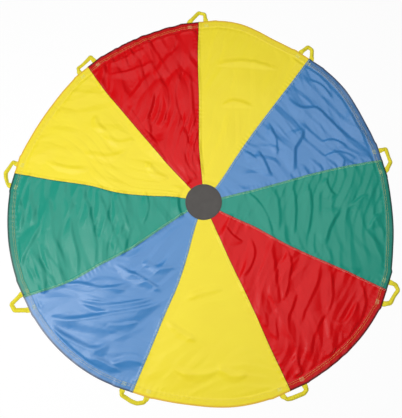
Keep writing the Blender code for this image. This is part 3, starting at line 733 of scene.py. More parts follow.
def settle(flat, height):
    """Let the folds fall and buckle as cloth: how far each point of the grid moves."""
    start = np.concatenate((flat, height[..., None]), axis=-1) * SETTLING_SCALE
    bpy.ops.mesh.primitive_grid_add(x_subdivisions=SHEET_CELLS, y_subdivisions=SHEET_CELLS,
                                    size=SHEET_SIZE * SETTLING_SCALE)
    sheet = bpy.context.object
    sheet.data.vertices.foreach_set("co", start.astype(np.float32).ravel())
    held = sheet.vertex_groups.new(name="held")
    held.add(np.flatnonzero(held_share(flat) == 1).tolist(), 1.0, "REPLACE")
    slack = sheet.vertex_groups.new(name="slack")
    bearing = bearing_and_radius(flat)[0].ravel()
    starts = [seam_bearing(gore) for gore in range(GORE_COUNT)]
    gores = (np.searchsorted(starts, bearing) - 1) % GORE_COUNT
    for gore, share in enumerate(CRUMPLE_SHARES):
        slack.add(np.flatnonzero(gores == gore).tolist(), share, "REPLACE")
    cloth = sheet.modifiers.new("cloth", "CLOTH")
    settings = cloth.settings
    for name, value in CLOTH_SETTINGS.items():
        setattr(settings, name, value)
    settings.vertex_group_mass = "held"
    settings.shrink_min = 0
    settings.shrink_max = -CLOTH_SLACK_SHARE
    settings.vertex_group_shrink = "slack"
    cloth.collision_settings.distance_min = CONTACT_GAP
    cloth.point_cache.frame_start = 1
    cloth.point_cache.frame_end = SETTLING_FRAMES
    bpy.ops.mesh.primitive_plane_add(size=2 * SHEET_SIZE * SETTLING_SCALE,
                                     location=(0, 0, -GROUND_DEPTH))
    ground = bpy.context.object
    ground.modifiers.new("ground", "COLLISION")
    ground.collision.thickness_outer = CONTACT_GAP
    ground.collision.cloth_friction = GROUND_FRICTION
    for number in range(1, SETTLING_FRAMES + 1):
        bpy.context.scene.frame_set(number)
    settled = sheet.evaluated_get(bpy.context.evaluated_depsgraph_get())
    points = np.empty(start.size, np.float32)
    settled.data.vertices.foreach_get("co", points)
    bpy.context.scene.frame_set(1)
    for item in (sheet, ground):
        bpy.data.objects.remove(item, do_unlink=True)
    moved = points.reshape(start.shape).astype(float) / SETTLING_SCALE
    moved[..., 2] = np.maximum(moved[..., 2], 0)
    return moved


def settled_sheet():
    """How far each point of the grid moves sideways, and its height, when the cloth lies
    as it is seen."""
    flat = sheet_points()
    height = first_folds(flat)
    resting = np.concatenate((flat, height[..., None]), axis=-1)
    resting += (1 - KEPT_SHARE) * (settle(flat, height) - resting)
    resting[..., :2] -= flat
    return resting


SETTLED = settled_sheet()


def settled(flat):
    """How far points of the flat cloth have moved: the grid, read through smooth curves."""
    place = (flat + SHEET_SIZE / 2) / (SHEET_SIZE / SHEET_CELLS)
    whole = np.clip(np.floor(place).astype(int), 1, SHEET_CELLS - 2)
    part = place - whole
    square, cube = part ** 2, part ** 3
    weights = (-0.5 * cube + square - 0.5 * part, 1.5 * cube - 2.5 * square + 1,
               -1.5 * cube + 2 * square + 0.5 * part, 0.5 * cube - 0.5 * square)
    moved = np.zeros((*flat.shape[:-1], 3))
    for j, across in enumerate(weights):
        for i, along in enumerate(weights):
            corner = SETTLED[whole[..., 1] + j - 1, whole[..., 0] + i - 1]
            moved += (across[..., 1] * along[..., 0])[..., None] * corner
    moved[..., 2] = np.maximum(moved[..., 2], 0)
    return moved


def under_cloth(flat):
    """The underside of the lowest cloth over points of the flat canopy."""
    moved = settled(flat)
    moved[..., :2] += flat
    moved[..., 2] += hub_lift(flat) + seat_lift(flat) + puckers(flat)
    return moved


def cloth_top(flat):
    """The top of the sewn cloth over points of the flat canopy, on its laps and its hem."""
    bearing, radius = bearing_and_radius(flat)
    in_hem = 1 - ease((rim_radius(bearing) - radius - HEM_WIDTH) / HEM_STEP)
    lapped = np.zeros(radius.shape)
    for seam in range(GORE_COUNT):
        aside = aside_of_seam(seam, bearing, radius)
        lapped += ease(0.5 + aside / CLOTH_STEP) * (1 - ease((aside - SEAM_LAP) / LAP_STEP))
    layer = TAFFETA_THICKNESS + in_hem * (HEM_THICKNESS - TAFFETA_THICKNESS)
    step = CLOTH_STEP + in_hem * (HEM_THICKNESS - CLOTH_STEP) + SEATING_GAP
    points = under_cloth(flat)
    points[..., 2] += layer + lapped * step
    return points


def linear(colour):
    """A hex colour in linear light."""
    channels = [int(colour[k:k + 2], 16) / 255 for k in (1, 3, 5)]
    return (*[c / 12.92 if c <= 0.04045 else ((c + 0.055) / 1.055) ** 2.4
              for c in channels], 1.0)


def add_node(tree, kind, settings=None, values=None, links=None):
    """Add a node, set its settings and its sockets' values, and link its inputs."""
    node = tree.nodes.new(kind)
    for name, value in (settings or {}).items():
        setattr(node, name, value)
    for name, value in (values or {}).items():
        node.inputs[name].default_value = value
    for name, source in (links or {}).items():
        tree.links.new(source, node.inputs[name])
    return node


def new_material(name, roughness, shine):
    """A material, its tree and its shader, as rough and as shiny as given."""
    material = bpy.data.materials.new(name)
    material.use_nodes = True
    shader = material.node_tree.nodes["Principled BSDF"]
    shader.inputs["Roughness"].default_value = roughness
    shader.inputs["Specular IOR Level"].default_value = shine
    return material, material.node_tree, shader


def taffeta(name, colour, worn, hem_shade_colour, edge_shade_colour, shine):
    """Nylon taffeta: a close plain weave of flat filaments, pressed smooth, so it shines
    softly. Uneven threads both ways break the shine into faint streaks. The folded hem is
    two layers; its darker colour is painted shade, and so is the dark colour along the seams
    and the rim."""
    material, tree, shader = new_material(name, SMOOTHEST + STREAK_ROUGHNESS, shine)
    place = add_node(tree, "ShaderNodeTexCoord").outputs["UV"]
    patterns = []
    for across, along, detail in ((CLOUD_SIZE, CLOUD_SIZE, 5), (STREAK_WIDTH, STREAK_LENGTH, 2),
                                  (STREAK_LENGTH, STREAK_WIDTH, 2)):
        stretched = add_node(tree, "ShaderNodeMapping",
                             values={"Scale": (1 / across, 1 / along, 1)},
                             links={"Vector": place})
        patterns.append(add_node(tree, "ShaderNodeTexNoise", values={"Scale": 1, "Detail": detail},
                                 links={"Vector": stretched.outputs["Vector"]}))
    clouds, warp, weft = (pattern.outputs["Fac"] for pattern in patterns)
    cloth = add_node(tree, "ShaderNodeMix", {"data_type": "RGBA"},
                     {6: linear(colour), 7: linear(worn)}, {0: clouds}).outputs[2]
    # Painted shade: the hem and edge shares darken the cloth on the hem, along the seams and round
    # the rim
    for part, darker in (("hem", hem_shade_colour), ("edge", edge_shade_colour)):
        share = add_node(tree, "ShaderNodeAttribute", {"attribute_name": part}).outputs["Fac"]
        cloth = add_node(tree, "ShaderNodeMix", {"data_type": "RGBA"}, {7: linear(darker)},
                         {0: share, 6: cloth}).outputs[2]
    tree.links.new(cloth, shader.inputs["Base Color"])
    threads = add_node(tree, "ShaderNodeMath", {"operation": "ADD"},
                       links={0: warp, 1: weft}).outputs[0]
    rough = add_node(tree, "ShaderNodeMath", {"operation": "MULTIPLY_ADD"},
                     {1: STREAK_ROUGHNESS, 2: SMOOTHEST}, {0: threads})
    tree.links.new(rough.outputs[0], shader.inputs["Roughness"])
    bump = add_node(tree, "ShaderNodeBump", values={"Distance": TAFFETA_RELIEF, "Strength": 0.22},
                    links={"Height": threads})
    tree.links.new(bump.outputs["Normal"], shader.inputs["Normal"])
    return material


def ribbed_webbing(name, colour, worn):
    """Polypropylene webbing: heavy weft ribs across it, dirt held between the ribs, and painted
    shade along its edges. Rubbed ribs are paler."""
    material, tree, shader = new_material(name, roughness=0.62, shine=0.3)
    place = add_node(tree, "ShaderNodeTexCoord").outputs["UV"]
    ribs = add_node(tree, "ShaderNodeTexWave", {"wave_profile": "SIN"},
                    {"Scale": math.tau / (WAVE_TURN * RIB_SPACING), "Distortion": 0.4},
                    {"Vector": place}).outputs["Fac"]
    patterns = []
    for along, across, detail in ((DIRT_WIDTH, DIRT_LENGTH, 4), (YARN_LENGTH, YARN_WIDTH, 2)):
        stretched = add_node(tree, "ShaderNodeMapping",
                             values={"Scale": (1 / along, 1 / across, 1)},
                             links={"Vector": place})
        patterns.append(add_node(tree, "ShaderNodeTexNoise", values={"Scale": 1, "Detail": detail},
                                 links={"Vector": stretched.outputs["Vector"]}))
    patches, yarn = (pattern.outputs["Fac"] for pattern in patterns)
    gaps = add_node(tree, "ShaderNodeMath", {"operation": "SUBTRACT"}, {0: 1}, {1: ribs})
    hollows = add_node(tree, "ShaderNodeMath", {"operation": "MULTIPLY"}, {1: DIRT_SHARE},
                       {0: gaps.outputs[0]})
    dirt = add_node(tree, "ShaderNodeMath", {"operation": "MULTIPLY"},
                    links={0: patches, 1: hollows.outputs[0]})
    # Painted shade along the webbing's edges, darkened to the same colour as the dirt
    edge = add_node(tree, "ShaderNodeAttribute", {"attribute_name": "edge"})
    dirt_and_edge_shade = add_node(tree, "ShaderNodeMath", {"operation": "MAXIMUM"},
                      links={0: dirt.outputs[0], 1: edge.outputs["Fac"]})
    shade = add_node(tree, "ShaderNodeMix", {"data_type": "RGBA"},
                     {6: linear(colour), 7: linear(worn)}, {0: dirt_and_edge_shade.outputs[0]})
    tree.links.new(shade.outputs[2], shader.inputs["Base Color"])
    weave = add_node(tree, "ShaderNodeMath", {"operation": "ADD"}, links={0: yarn, 1: ribs})
    bump = add_node(tree, "ShaderNodeBump", values={"Distance": WEBBING_RELIEF, "Strength": 0.4},
                    links={"Height": weave.outputs[0]})
    tree.links.new(bump.outputs["Normal"], shader.inputs["Normal"])
    return material


def coated_vinyl(name, colour, worn):
    """Vinyl-coated cloth: a matt grey skin with a fine leather grain and scuffed patches."""
    material, tree, shader = new_material(name, roughness=0.6, shine=0.3)
    place = add_node(tree, "ShaderNodeTexCoord").outputs["Object"]
    stretched = add_node(tree, "ShaderNodeMapping", values={"Scale": (1 / SCUFF_SIZE,) * 3},
                         links={"Vector": place})
    scuffs = add_node(tree, "ShaderNodeTexNoise", values={"Scale": 1, "Detail": 6},
                      links={"Vector": stretched.outputs["Vector"]})
    shade = add_node(tree, "ShaderNodeMix", {"data_type": "RGBA"},
                     {6: linear(colour), 7: linear(worn)}, {0: scuffs.outputs["Fac"]})
    tree.links.new(shade.outputs[2], shader.inputs["Base Color"])
    grain = add_node(tree, "ShaderNodeTexVoronoi", {"feature": "DISTANCE_TO_EDGE"},
                     {"Scale": 1 / VINYL_GRAIN}, {"Vector": place})
    bump = add_node(tree, "ShaderNodeBump", values={"Distance": VINYL_RELIEF, "Strength": 0.3},
                    links={"Height": grain.outputs["Distance"]})
    tree.links.new(bump.outputs["Normal"], shader.inputs["Normal"])
    return material


def twisted_thread(name, colour):
    """Polyester sewing thread: three glossy plies with a tight twist."""
    material, tree, shader = new_material(name, roughness=0.45, shine=0.5)
    shader.inputs["Base Color"].default_value = linear(colour)
    place = add_node(tree, "ShaderNodeTexCoord").outputs["Object"]
    stretched = add_node(tree, "ShaderNodeMapping", values={"Scale": (1 / PLY_WIDTH,) * 3},
                         links={"Vector": place})
    plies = add_node(tree, "ShaderNodeTexNoise", values={"Scale": 1, "Detail": 2},
                     links={"Vector": stretched.outputs["Vector"]})
    bump = add_node(tree, "ShaderNodeBump", values={"Distance": PLY_RELIEF, "Strength": 0.3},
                    links={"Height": plies.outputs["Fac"]})
    tree.links.new(bump.outputs["Normal"], shader.inputs["Normal"])
    return material


def add_object(name, data):
    """Put an object with this mesh, lamp or camera in the scene."""
    item = bpy.data.objects.new(name, data)
    bpy.context.scene.collection.objects.link(item)
    return item


def add_share(mesh, name, values):
    """Store a share on each vertex for the material to read."""
    layer = mesh.attributes.new(name, "FLOAT", "POINT")
    layer.data.foreach_set("value", np.asarray(values, np.float32).ravel())


def grid_piece(name, points, material, flat=None, ring=False):
    """A mesh with one vertex for each point of a grid. A ring closes across its columns
    and gets a flat face at each end."""
    rows, columns = points.shape[:2]
    index = np.arange(rows * columns).reshape(rows, columns)
    if ring:
        index = np.concatenate((index, index[:, :1]), axis=1)
    faces = np.stack((index[:-1, :-1], index[:-1, 1:], index[1:, 1:], index[1:, :-1]),
                     axis=-1).reshape(-1, 4).tolist()
    if ring:
        faces += [index[0, :-1][::-1].tolist(), index[-1, :-1].tolist()]
    mesh = bpy.data.meshes.new(name)
    mesh.from_pydata(points.reshape(-1, 3).tolist(), [], faces)
    if flat is not None:
        layer = mesh.uv_layers.new(name="cloth")
        corners = np.empty(len(mesh.loops), int)
        mesh.loops.foreach_get("vertex_index", corners)
        layer.data.foreach_set("uv", flat.reshape(-1, 2)[corners].astype(np.float32).ravel())
    mesh.materials.append(material)
    mesh.validate()
    mesh.shade_smooth()
    return add_object(name, mesh)


def gore_grid(gore):
    """A gore's plan: its rows run out from the hub and end under the folded hem, and its
    columns run clockwise from the lap. Gives flat points, how raised the lap is and how
    high in the hem each point lies."""
    lap = SEAM_LAP + LAP_STEP
    between = [share * -lap for share in LAP_COLUMN_SHARES]
    lap_extras = np.array((-lap, *between, -LAP_STEP - LAP_CREST, -LAP_STEP, -LAP_STEP / 2, 0))
    tuck_extras = np.array(TUCK_COLUMN_SHARES) * (SEAM_LAP - LAP_TUCK)
    body_shares = np.linspace(0, 1, VISIBLE_COLUMNS + 1)
    shares = np.concatenate((np.zeros(len(lap_extras) - 1), body_shares,
                             np.ones(len(tuck_extras))))
    extras = np.concatenate((lap_extras, np.zeros(VISIBLE_COLUMNS), tuck_extras))
    raised = np.where(extras > 0, 0, ease(-extras / LAP_STEP))

    def bearing_at(radius):
        """The columns' bearings at a radius."""
        start = seam_bearing_at(gore, radius) + lap / radius
        end = seam_bearing_at(gore + 1, radius)
        return start + shares * (end - start) + extras / radius

    rim = rim_radius(bearing_at(np.full(len(shares), CANOPY_RADIUS)))
    turn = (HEM_THICKNESS - TAFFETA_THICKNESS) / 2
    inner = np.array((GORE_POINT_RADIUS, 0.5 * (GORE_POINT_RADIUS + HUB_RADIUS), HUB_RADIUS))
    rows, levels = [np.full(len(shares), radius) for radius in inner], [0] * len(inner)
    hem_start = rim - HEM_WIDTH - HEM_STEP
    for share in np.linspace(0, 1, VISIBLE_ROWS + 1):
        start = HUB_RADIUS + HUB_MARGIN
        rows.append(start + share * (hem_start - start))
        levels.append(0)
    for inset in np.linspace(HEM_WIDTH, turn, HEM_TOP_ROWS):
        rows.append(rim - inset)
        levels.append(1)
    for angle in np.linspace(0, math.pi, HEM_EDGE_ROWS + 2)[1:-1]:
        rows.append(rim - turn + turn * math.sin(angle))
        levels.append(0.5 + 0.5 * math.cos(angle))
    for inset in np.linspace(turn, HEM_WIDTH - HEM_RAW_EDGE, HEM_UNDER_ROWS):
        rows.append(rim - inset)
        levels.append(0)
    radii = np.array(rows)
    flat = on_bearing(np.array([bearing_at(radius) for radius in radii]), radii)
    in_hem = np.arange(len(radii)) > len(inner) + VISIBLE_ROWS
    return flat, raised, np.array(levels), in_hem


def add_gore(gore, materials):
    """A gore: its cloth lies on the settled surface, with its lap raised over the gore
    before it and its hem folded under."""
    flat, raised, levels, in_hem = gore_grid(gore)
    points = under_cloth(flat)
    step = np.where(in_hem, HEM_THICKNESS, CLOTH_STEP) + SEATING_GAP
    points[..., 2] += step[:, None] * raised
    points[..., 2] += TAFFETA_THICKNESS / 2
    points[..., 2] += (levels * (HEM_THICKNESS - TAFFETA_THICKNESS))[:, None]
    middle = 0.5 * (seam_bearing(gore) + seam_bearing(gore + 1))
    outward, across = out_and_along(middle)
    threads = np.stack((flat @ across, flat @ outward), axis=-1)
    colour = GORE_COLOURS[gore]
    piece = grid_piece(f"gore_{gore + 1}_cloth", points[:, ::-1], materials[colour],
                       threads[:, ::-1])
    bearing, radius = bearing_and_radius(flat)
    inset = rim_radius(bearing) - radius
    # Painted shade darkens the folded hem
    hem = (in_hem[:, None] + 0 * inset) * HEM_SHADE_SHARES[gore]
    add_share(piece.data, "hem", hem[:, ::-1])
    # Painted shade: thin dark lines along the lap's edge, on the gore below beside the lap, and
    # round the rim where the hem rolls under
    lap_shade = raised * (1 - ease(aside_of_seam(gore, bearing, radius) / EDGE_WIDTH))
    lap_shade *= SEAM_SHADE_SHARES[gore][1]
    beside = aside_of_seam(gore + 1, bearing, radius)
    under_lap_shade = ease(1 + beside / EDGE_WIDTH) * (np.abs(beside) < SEAM_LAP)
    under_lap_shade *= SEAM_SHADE_SHARES[(gore + 1) % GORE_COUNT][0]
    rim_shade = 1 - ease((inset - RIM_EDGE_DARK) / RIM_EDGE_WIDTH)
    edge = np.maximum(np.maximum(lap_shade, under_lap_shade), rim_shade)
    add_share(piece.data, "edge", edge[:, ::-1])
    solid = piece.modifiers.new("cloth thickness", "SOLIDIFY")
    solid.thickness = TAFFETA_THICKNESS
    solid.offset = 0
    node = f"gore_{gore + 1}_{colour}"
    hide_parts(node)
    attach(piece, "canopy")
    length = rim_radius(middle) - GORE_POINT_RADIUS + 2 * HEM_WIDTH


def webbing_section():
    """The outline of flat webbing with rounded edges, as places across it and above it."""
    edge = WEBBING_THICKNESS / 2
    flat_half = WEBBING_WIDTH / 2 - edge
    spread = np.linspace(-1, 1, WEBBING_COLUMNS) * flat_half
    section = [(across, edge) for across in spread]
    section += [(flat_half + edge * math.cos(angle), edge * math.sin(angle))
                for angle in (math.pi / 6, -math.pi / 6)]
    section += [(across, -edge) for across in spread[::-1]]
    section += [(-flat_half - edge * math.cos(angle), edge * math.sin(angle))
                for angle in (-math.pi / 6, math.pi / 6)]
    return np.array(section)


def soften(values):
    """Round off the corners of a line read every WEBBING_STEP."""
    span = np.arange(-2 * BEND_STEPS, 2 * BEND_STEPS + 1)
    kernel = np.exp(-(span / BEND_STEPS) ** 2)
    reach = 2 * BEND_STEPS
    padded = np.concatenate((2 * values[0] - values[reach:0:-1], values,
                             2 * values[-1] - values[-2:-reach - 2:-1]))
    return np.convolve(padded, kernel / kernel.sum(), "valid")


def strap_line(seam):
    """A strap's middle line in its seat's axes, with its lean and its lengthwise fold."""
    start, *corners, end = HANDLE_SHARES[seam]
    inside = -HEM_WIDTH + SEWN_END_SHORT
    turns = HANDLE_TURNS[seam]
    line = [(HANDLE_SPREAD * start, inside, 0, 0), (HANDLE_SPREAD * start, HINGE_OUT, *turns[0])]
    for (along, out), turn in zip(corners, turns):
        reach = HINGE_OUT + HANDLE_REACH * HANDLE_GATHER_SHARE * out
        line.append((HANDLE_SPREAD * along, reach, *turn))
    line += [(HANDLE_SPREAD * end, HINGE_OUT, *turns[-1]), (HANDLE_SPREAD * end, inside, 0, 0)]
    line = np.array(line)
    steps = np.linalg.norm(np.diff(line[:, :2], axis=0), axis=1)
    gone = np.concatenate(([0], np.cumsum(steps)))
    places = np.linspace(0, gone[-1], int(gone[-1] / WEBBING_STEP) + 1)
    along, out, lean, fold = (soften(np.interp(places, gone, column)) for column in line.T)
    free = ease((out - HINGE_OUT) / BEND_REACH)
    path = np.stack((along, out), axis=-1)
    return places, path, np.radians(lean) * free, np.radians(fold) * free


def add_strap(seam, material):
    """A handle: one strap, its ends flat under the hem, its loop leaning on its edge and
    folded lengthwise where it turns."""
    places, path, lean, fold = strap_line(seam)
    seat = SEATS[seam]
    ahead = np.gradient(path, axis=0)
    ahead /= np.linalg.norm(ahead, axis=1)[:, None]
    sideways = np.stack((ahead[:, 1], -ahead[:, 0]), axis=-1)
    across, above = webbing_section().T
    half = WEBBING_WIDTH / 2
    ribs = RIB_DEPTH * (np.sin(places * math.tau / RIB_SPACING) - 1)
    rise = above + np.sign(above) * ribs[:, None] * (np.abs(across) < half - RIB_SPACING)
    cos, sin = np.cos(fold)[:, None], np.sin(fold)[:, None]
    wide = across * cos + rise * np.sign(np.round(across, 6)) * sin
    high = (half - np.abs(across)) * sin + rise * cos
    cos, sin = np.cos(lean)[:, None], np.sin(lean)[:, None]
    aside = wide * cos + high * sin
    height = high * cos - wide * sin
    height -= height.min(axis=1)[:, None]
    outward, along_hem = out_and_along(seat.bearing)
    local = path[:, None, :] + aside[..., None] * sideways[:, None, :]
    world = seat.middle + local[..., :1] * along_hem + local[..., 1:] * outward
    points = np.concatenate((world, height[..., None]), axis=-1)
    cloth = np.stack(np.broadcast_arrays(places[:, None], across), axis=-1)
    piece = grid_piece(f"handle_{seam + 1}_webbing", points, material, cloth, ring=True)
    # Painted shade along the webbing's edges
    edge_shade = ease((np.abs(cloth[..., 1]) - half) / WEBBING_SHADE_WIDTH + 1)
    add_share(piece.data, "edge", WEBBING_SHADE_SHARE * edge_shade)
    name = f"handle_{seam + 1}"
    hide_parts(name, f"{name}_left_end", f"{name}_right_end")
    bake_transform(piece)


def stitch_tree():
    """The tree that lays stitches along rows: each a short arched length of thread."""
    tree = bpy.data.node_groups.new("stitches along rows", "GeometryNodeTree")
    for name, kind in (("Rows", "Geometry"), ("Pitch", "Float"), ("Length", "Float"),
                       ("Radius", "Float"), ("Rise", "Float"), ("Thread", "Material")):
        tree.interface.new_socket(name, in_out="INPUT", socket_type=f"NodeSocket{kind}")
    tree.interface.new_socket("Stitches", in_out="OUTPUT", socket_type="NodeSocketGeometry")
    given = tree.nodes.new("NodeGroupInput").outputs
    row = add_node(tree, "GeometryNodeMeshToCurve", links={"Mesh": given["Rows"]})
    points = add_node(tree, "GeometryNodeResampleCurve", {"mode": "LENGTH"},
                      links={"Curve": row.outputs["Curve"], "Length": given["Pitch"]})
    ends, tops = [], []
    for side in (-0.5, 0.5):
        half = add_node(tree, "ShaderNodeMath", {"operation": "MULTIPLY"}, {1: side},
                        {0: given["Length"]}).outputs[0]
        ends.append(add_node(tree, "ShaderNodeCombineXYZ", links={"X": half}))
        tops.append(add_node(tree, "ShaderNodeCombineXYZ",
                             links={"X": half, "Z": given["Rise"]}))
    arch = add_node(tree, "GeometryNodeCurvePrimitiveBezierSegment",
                    {"mode": "POSITION"}, {"Resolution": 4},
                    {"Start": ends[0].outputs[0], "Start Handle": tops[0].outputs[0],
                     "End Handle": tops[1].outputs[0], "End": ends[1].outputs[0]})
    circle = add_node(tree, "GeometryNodeCurvePrimitiveCircle", {"mode": "RADIUS"},
                      {"Resolution": 5}, {"Radius": given["Radius"]})
    thread = add_node(tree, "GeometryNodeCurveToMesh", values={"Fill Caps": True},
                      links={"Curve": arch.outputs[0], "Profile Curve": circle.outputs[0]})
    tangent = add_node(tree, "GeometryNodeInputTangent")
    ahead = add_node(tree, "FunctionNodeAlignRotationToVector", {"axis": "X"},
                     links={"Vector": tangent.outputs[0]})
    sway = add_node(tree, "FunctionNodeRandomValue", {"data_type": "FLOAT_VECTOR"},
                    {"Min": (0, 0, -STITCH_SWAY), "Max": (0, 0, STITCH_SWAY),
                     "Seed": STITCH_SEED})
    lean = add_node(tree, "FunctionNodeEulerToRotation", links={0: sway.outputs[0]})
    turned = add_node(tree, "FunctionNodeRotateRotation", {"rotation_space": "LOCAL"},
                      links={0: ahead.outputs[0], 1: lean.outputs[0]})
    laid = add_node(tree, "GeometryNodeInstanceOnPoints",
                    links={"Points": points.outputs[0], "Instance": thread.outputs[0],
                           "Rotation": turned.outputs[0]})
    real = add_node(tree, "GeometryNodeRealizeInstances", links={0: laid.outputs[0]})
    done = add_node(tree, "GeometryNodeSetMaterial",
                    links={"Geometry": real.outputs[0], "Material": given["Thread"]})
    add_node(tree, "NodeGroupOutput", links={0: done.outputs[0]})
    return tree


def add_stitches(name, tree, rows, closed, pitch, radius, material, node):
    """Sew along rows of points and keep the stitches as a plain mesh."""
    corners, edges = [], []
    for row in rows:
        first = len(corners)
        corners += row.tolist()
        edges += [(k, k + 1) for k in range(first, len(corners) - 1)]
        if closed:
            edges.append((len(corners) - 1, first))
    mesh = bpy.data.meshes.new(name)
    mesh.from_pydata(corners, edges, [])
    path = add_object(f"{name} rows", mesh)
    modifier = path.modifiers.new("stitches", "NODES")
    modifier.node_group = tree
    given = {"Pitch": pitch, "Length": STITCH_LENGTH, "Radius": radius,
             "Rise": STITCH_RISE, "Thread": material}
    for item in tree.interface.items_tree:
        if item.name in given:
            modifier[item.identifier] = given[item.name]
    graph = bpy.context.evaluated_depsgraph_get()
    sewn = bpy.data.meshes.new_from_object(path.evaluated_get(graph), depsgraph=graph)
    sewn.name = name
    sewn.shade_smooth()
    bpy.data.objects.remove(path, do_unlink=True)
    piece = add_object(name, sewn)
    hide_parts(node)
    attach(piece, "canopy")


def seam_rows(seam):
    """The two rows that hold a lap, from the hub to the hem's edge."""
    rows = []
    bearing = seam_bearing(seam)
    for aside in (SEAM_ROW_INSET, SEAM_LAP - SEAM_ROW_INSET):
        end = float(rim_radius(np.array(bearing + aside / CANOPY_RADIUS))) - HEM_ROW_INSET
        radius = np.arange(HUB_RADIUS + SEAM_ROW_INSET, end, ROW_STEP)
        place = on_bearing(seam_bearing_at(seam, radius) + aside / radius, radius)
        rows.append(cloth_top(place))
    return rows


def hem_rows():
    """The two rows that run all round the hem."""
    steps = int(math.tau * CANOPY_RADIUS / ROW_STEP)
    bearing = np.linspace(0, math.tau, steps, endpoint=False)
    rim = rim_radius(bearing)
    inner = HEM_WIDTH - HEM_ROW_INSET
    return [cloth_top(on_bearing(bearing, rim - inset))
            for inset in (inner, inner - HEM_ROW_SPACING)]


def hub_rows():
    """The one row round the hub's edge."""
    bearing = np.linspace(0, math.tau, HUB_SIDES, endpoint=False)
    ring = on_bearing(bearing, HUB_RADIUS - HUB_ROW_INSET)
    return [np.concatenate((ring, np.full((HUB_SIDES, 1), CAP_TOP)), axis=1)]


def tack_rows(seam):
    """The boxes of close stitching that hold a handle's two ends: to and fro across each."""
    seat = SEATS[seam]
    outward, along_hem = out_and_along(seat.bearing)
    inner, outer = HEM_WIDTH - TACK_INSET, HEM_WIDTH - TACK_INSET - TACK_LENGTH
    insets = np.arange(outer, inner + TACK_LINE_SPACING / 2, TACK_LINE_SPACING)
    rows = []
    for share in (HANDLE_SHARES[seam][0], HANDLE_SHARES[seam][-1]):
        middle = HANDLE_SPREAD * share
        corners = []
        for number, inset in enumerate(insets):
            side = TACK_WIDTH / 2 * (1 if number % 2 else -1)
            for aside in np.linspace(-side, side, TACK_LINE_POINTS):
                corners.append(seat.middle + along_hem * (middle + aside) - outward * inset)
        rows.append(cloth_top(np.array(corners)))
    return rows


def add_hub(material):
    """The vinyl disc on top: a rounded edge, and a face that isn't quite flat."""
    round_edge = HUB_THICKNESS / 2
    radii, heights = [HUB_MIDDLE], [CAP_BOTTOM]
    radii += np.linspace(HUB_UNDER_INNER, HUB_RADIUS - round_edge, HUB_UNDER_ROWS).tolist()
    heights += [CAP_BOTTOM] * HUB_UNDER_ROWS
    for angle in np.linspace(-90, 90, HUB_EDGE_ROWS + 2)[1:-1]:
        radii.append(HUB_RADIUS - round_edge + round_edge * math.cos(math.radians(angle)))
        heights.append(CAP_BOTTOM + round_edge * (1 + math.sin(math.radians(angle))))
    radii += np.linspace(HUB_RADIUS - round_edge, HUB_MIDDLE, HUB_TOP_ROWS).tolist()
    heights += [CAP_TOP] * HUB_TOP_ROWS
    bearing = np.linspace(0, math.tau, HUB_SIDES, endpoint=False)
    points = []
    for radius, height in zip(radii, heights):
        flat = on_bearing(bearing, radius)
        places = [Vector((x / HUB_WAVE_LENGTH, y / HUB_WAVE_LENGTH, HUB_LAYER))
                  for x, y in flat]
        wave = [HUB_WAVE_HEIGHT * noise.noise(place) for place in places]
        from_row = (radius - HUB_RADIUS + HUB_ROW_INSET) / HUB_GROOVE_WIDTH
        sewn = HUB_GROOVE_DEPTH * math.exp(-from_row ** 2)
        top = height > CAP_BOTTOM + round_edge
        level = height + (np.minimum(wave, 0) - sewn if top else 0 * bearing)
        points.append(np.concatenate((flat, level[:, None]), axis=1))
    piece = grid_piece("hub_cap_vinyl", np.array(points), material, ring=True)
    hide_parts("hub_cap")
    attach(piece, "canopy")


def add_floor():
    """A pale floor that keeps the toy's shadow and is nearly white to the camera."""
    bpy.ops.mesh.primitive_circle_add(vertices=FLOOR_SIDES, radius=FLOOR_RADIUS,
                                      fill_type="NGON", location=(0, 0, -FLOOR_DEPTH))
    floor = bpy.context.object
    floor.name = "floor"
    material, tree, shader = new_material("pale floor", roughness=0.9, shine=0.1)
    shader.inputs["Base Color"].default_value = linear(FLOOR_COLOUR)
    glow = add_node(tree, "ShaderNodeEmission", values={"Color": linear(WHITE), "Strength": 1})
    rays = add_node(tree, "ShaderNodeLightPath")
    seen = add_node(tree, "ShaderNodeMath", {"operation": "MULTIPLY"}, {1: FLOOR_GLOW_SHARE},
                    {0: rays.outputs["Is Camera Ray"]})
    mixed = add_node(tree, "ShaderNodeMixShader",
                     links={0: seen.outputs[0], 1: shader.outputs[0], 2: glow.outputs[0]})
    tree.links.new(mixed.outputs[0], tree.nodes["Material Output"].inputs["Surface"])
    floor.data.materials.append(material)


def add_world():
    """A dim, even light from all round, which the camera sees as plain white."""
    world = bpy.data.worlds.new("studio")
    world.use_nodes = True
    bpy.context.scene.world = world
    tree = world.node_tree
    light = tree.nodes["Background"]
    light.inputs["Color"].default_value = linear(WHITE)
    light.inputs["Strength"].default_value = STUDIO_LIGHT
    white = add_node(tree, "ShaderNodeBackground", values={"Color": linear(WHITE), "Strength": 1})
    rays = add_node(tree, "ShaderNodeLightPath")
    mixed = add_node(tree, "ShaderNodeMixShader",
                     links={0: rays.outputs["Is Camera Ray"], 1: light.outputs[0],
                            2: white.outputs[0]})
    tree.links.new(mixed.outputs[0], tree.nodes["World Output"].inputs["Surface"])


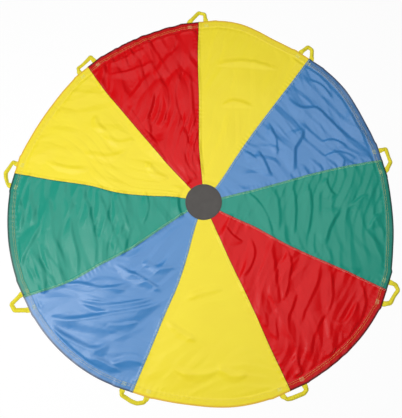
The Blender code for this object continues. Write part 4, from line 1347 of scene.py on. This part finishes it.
def add_lamp(name, place, size, power):
    """A soft square lamp that faces the hub."""
    data = bpy.data.lights.new(name, "AREA")
    data.size = size
    data.energy = power
    lamp = add_object(name, data)
    lamp.location = place
    lamp.rotation_euler = (-Vector(place)).to_track_quat("-Z", "Y").to_euler()


def add_camera():
    """The camera of the photograph."""
    data = bpy.data.cameras.new("camera")
    data.lens = CAMERA_LENS
    data.sensor_width = CAMERA_SENSOR
    camera = add_object("camera", data)
    camera.location = camera_axes()[0]
    camera.rotation_euler = (CAMERA_TILT, 0, 0)
    bpy.context.scene.camera = camera


def main():
    """Set the stage, then lay the gores, the handles, the stitches and the hub."""
    bpy.context.scene.view_settings.view_transform = "Standard"
    add_camera()
    add_floor()
    add_world()
    add_lamp("wide softbox", place=(0.0, 0.2, 2.4), size=3.3, power=58)
    add_lamp("side softbox", place=(-2.0, -0.8, 2.2), size=1.6, power=43)
    materials = {colour: taffeta(f"nylon taffeta {colour}", *finish)
                 for colour, finish in TAFFETA_FINISHES.items()}
    # The webbing's yellow, and the dark colour of both its dirt and the painted shade along its
    # edges
    webbing = ribbed_webbing("yellow webbing", "#E8DA2C", "#94861A")
    vinyl = coated_vinyl("grey vinyl", "#454240", "#524F4C")
    threads = {name: twisted_thread(f"{name} thread", colour)
               for name, colour in THREAD_COLOURS.items()}
    grey = twisted_thread("grey thread", HUB_THREAD_COLOUR)
    tree = stitch_tree()
    for seam in range(GORE_COUNT):
        name = f"handle_{seam + 1}"
        shade = SEAM_THREADS[seam]
        add_gore(seam, materials)
        add_strap(seam, webbing)
        add_stitches(f"seam_{seam + 1}_stitches", tree, seam_rows(seam), False, STITCH_PITCH,
                     THREAD_RADII[shade], threads[shade], f"seam_thread_{seam + 1}")
        add_stitches(f"{name}_tack_stitches", tree, tack_rows(seam), False, TACK_PITCH,
                     STITCH_RADIUS, threads["lime"], f"{name}_tacks")
    add_stitches("hem_stitches", tree, hem_rows(), True, STITCH_PITCH, HEM_STITCH_RADIUS,
                 threads["gold"], "hem_thread")
    add_stitches("hub_stitches", tree, hub_rows(), True, STITCH_PITCH, STITCH_RADIUS, grey,
                 "hub_thread")
    add_hub(vinyl)
    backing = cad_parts["hub_backing"].data
    backing.materials.clear()
    backing.materials.append(vinyl)


main()
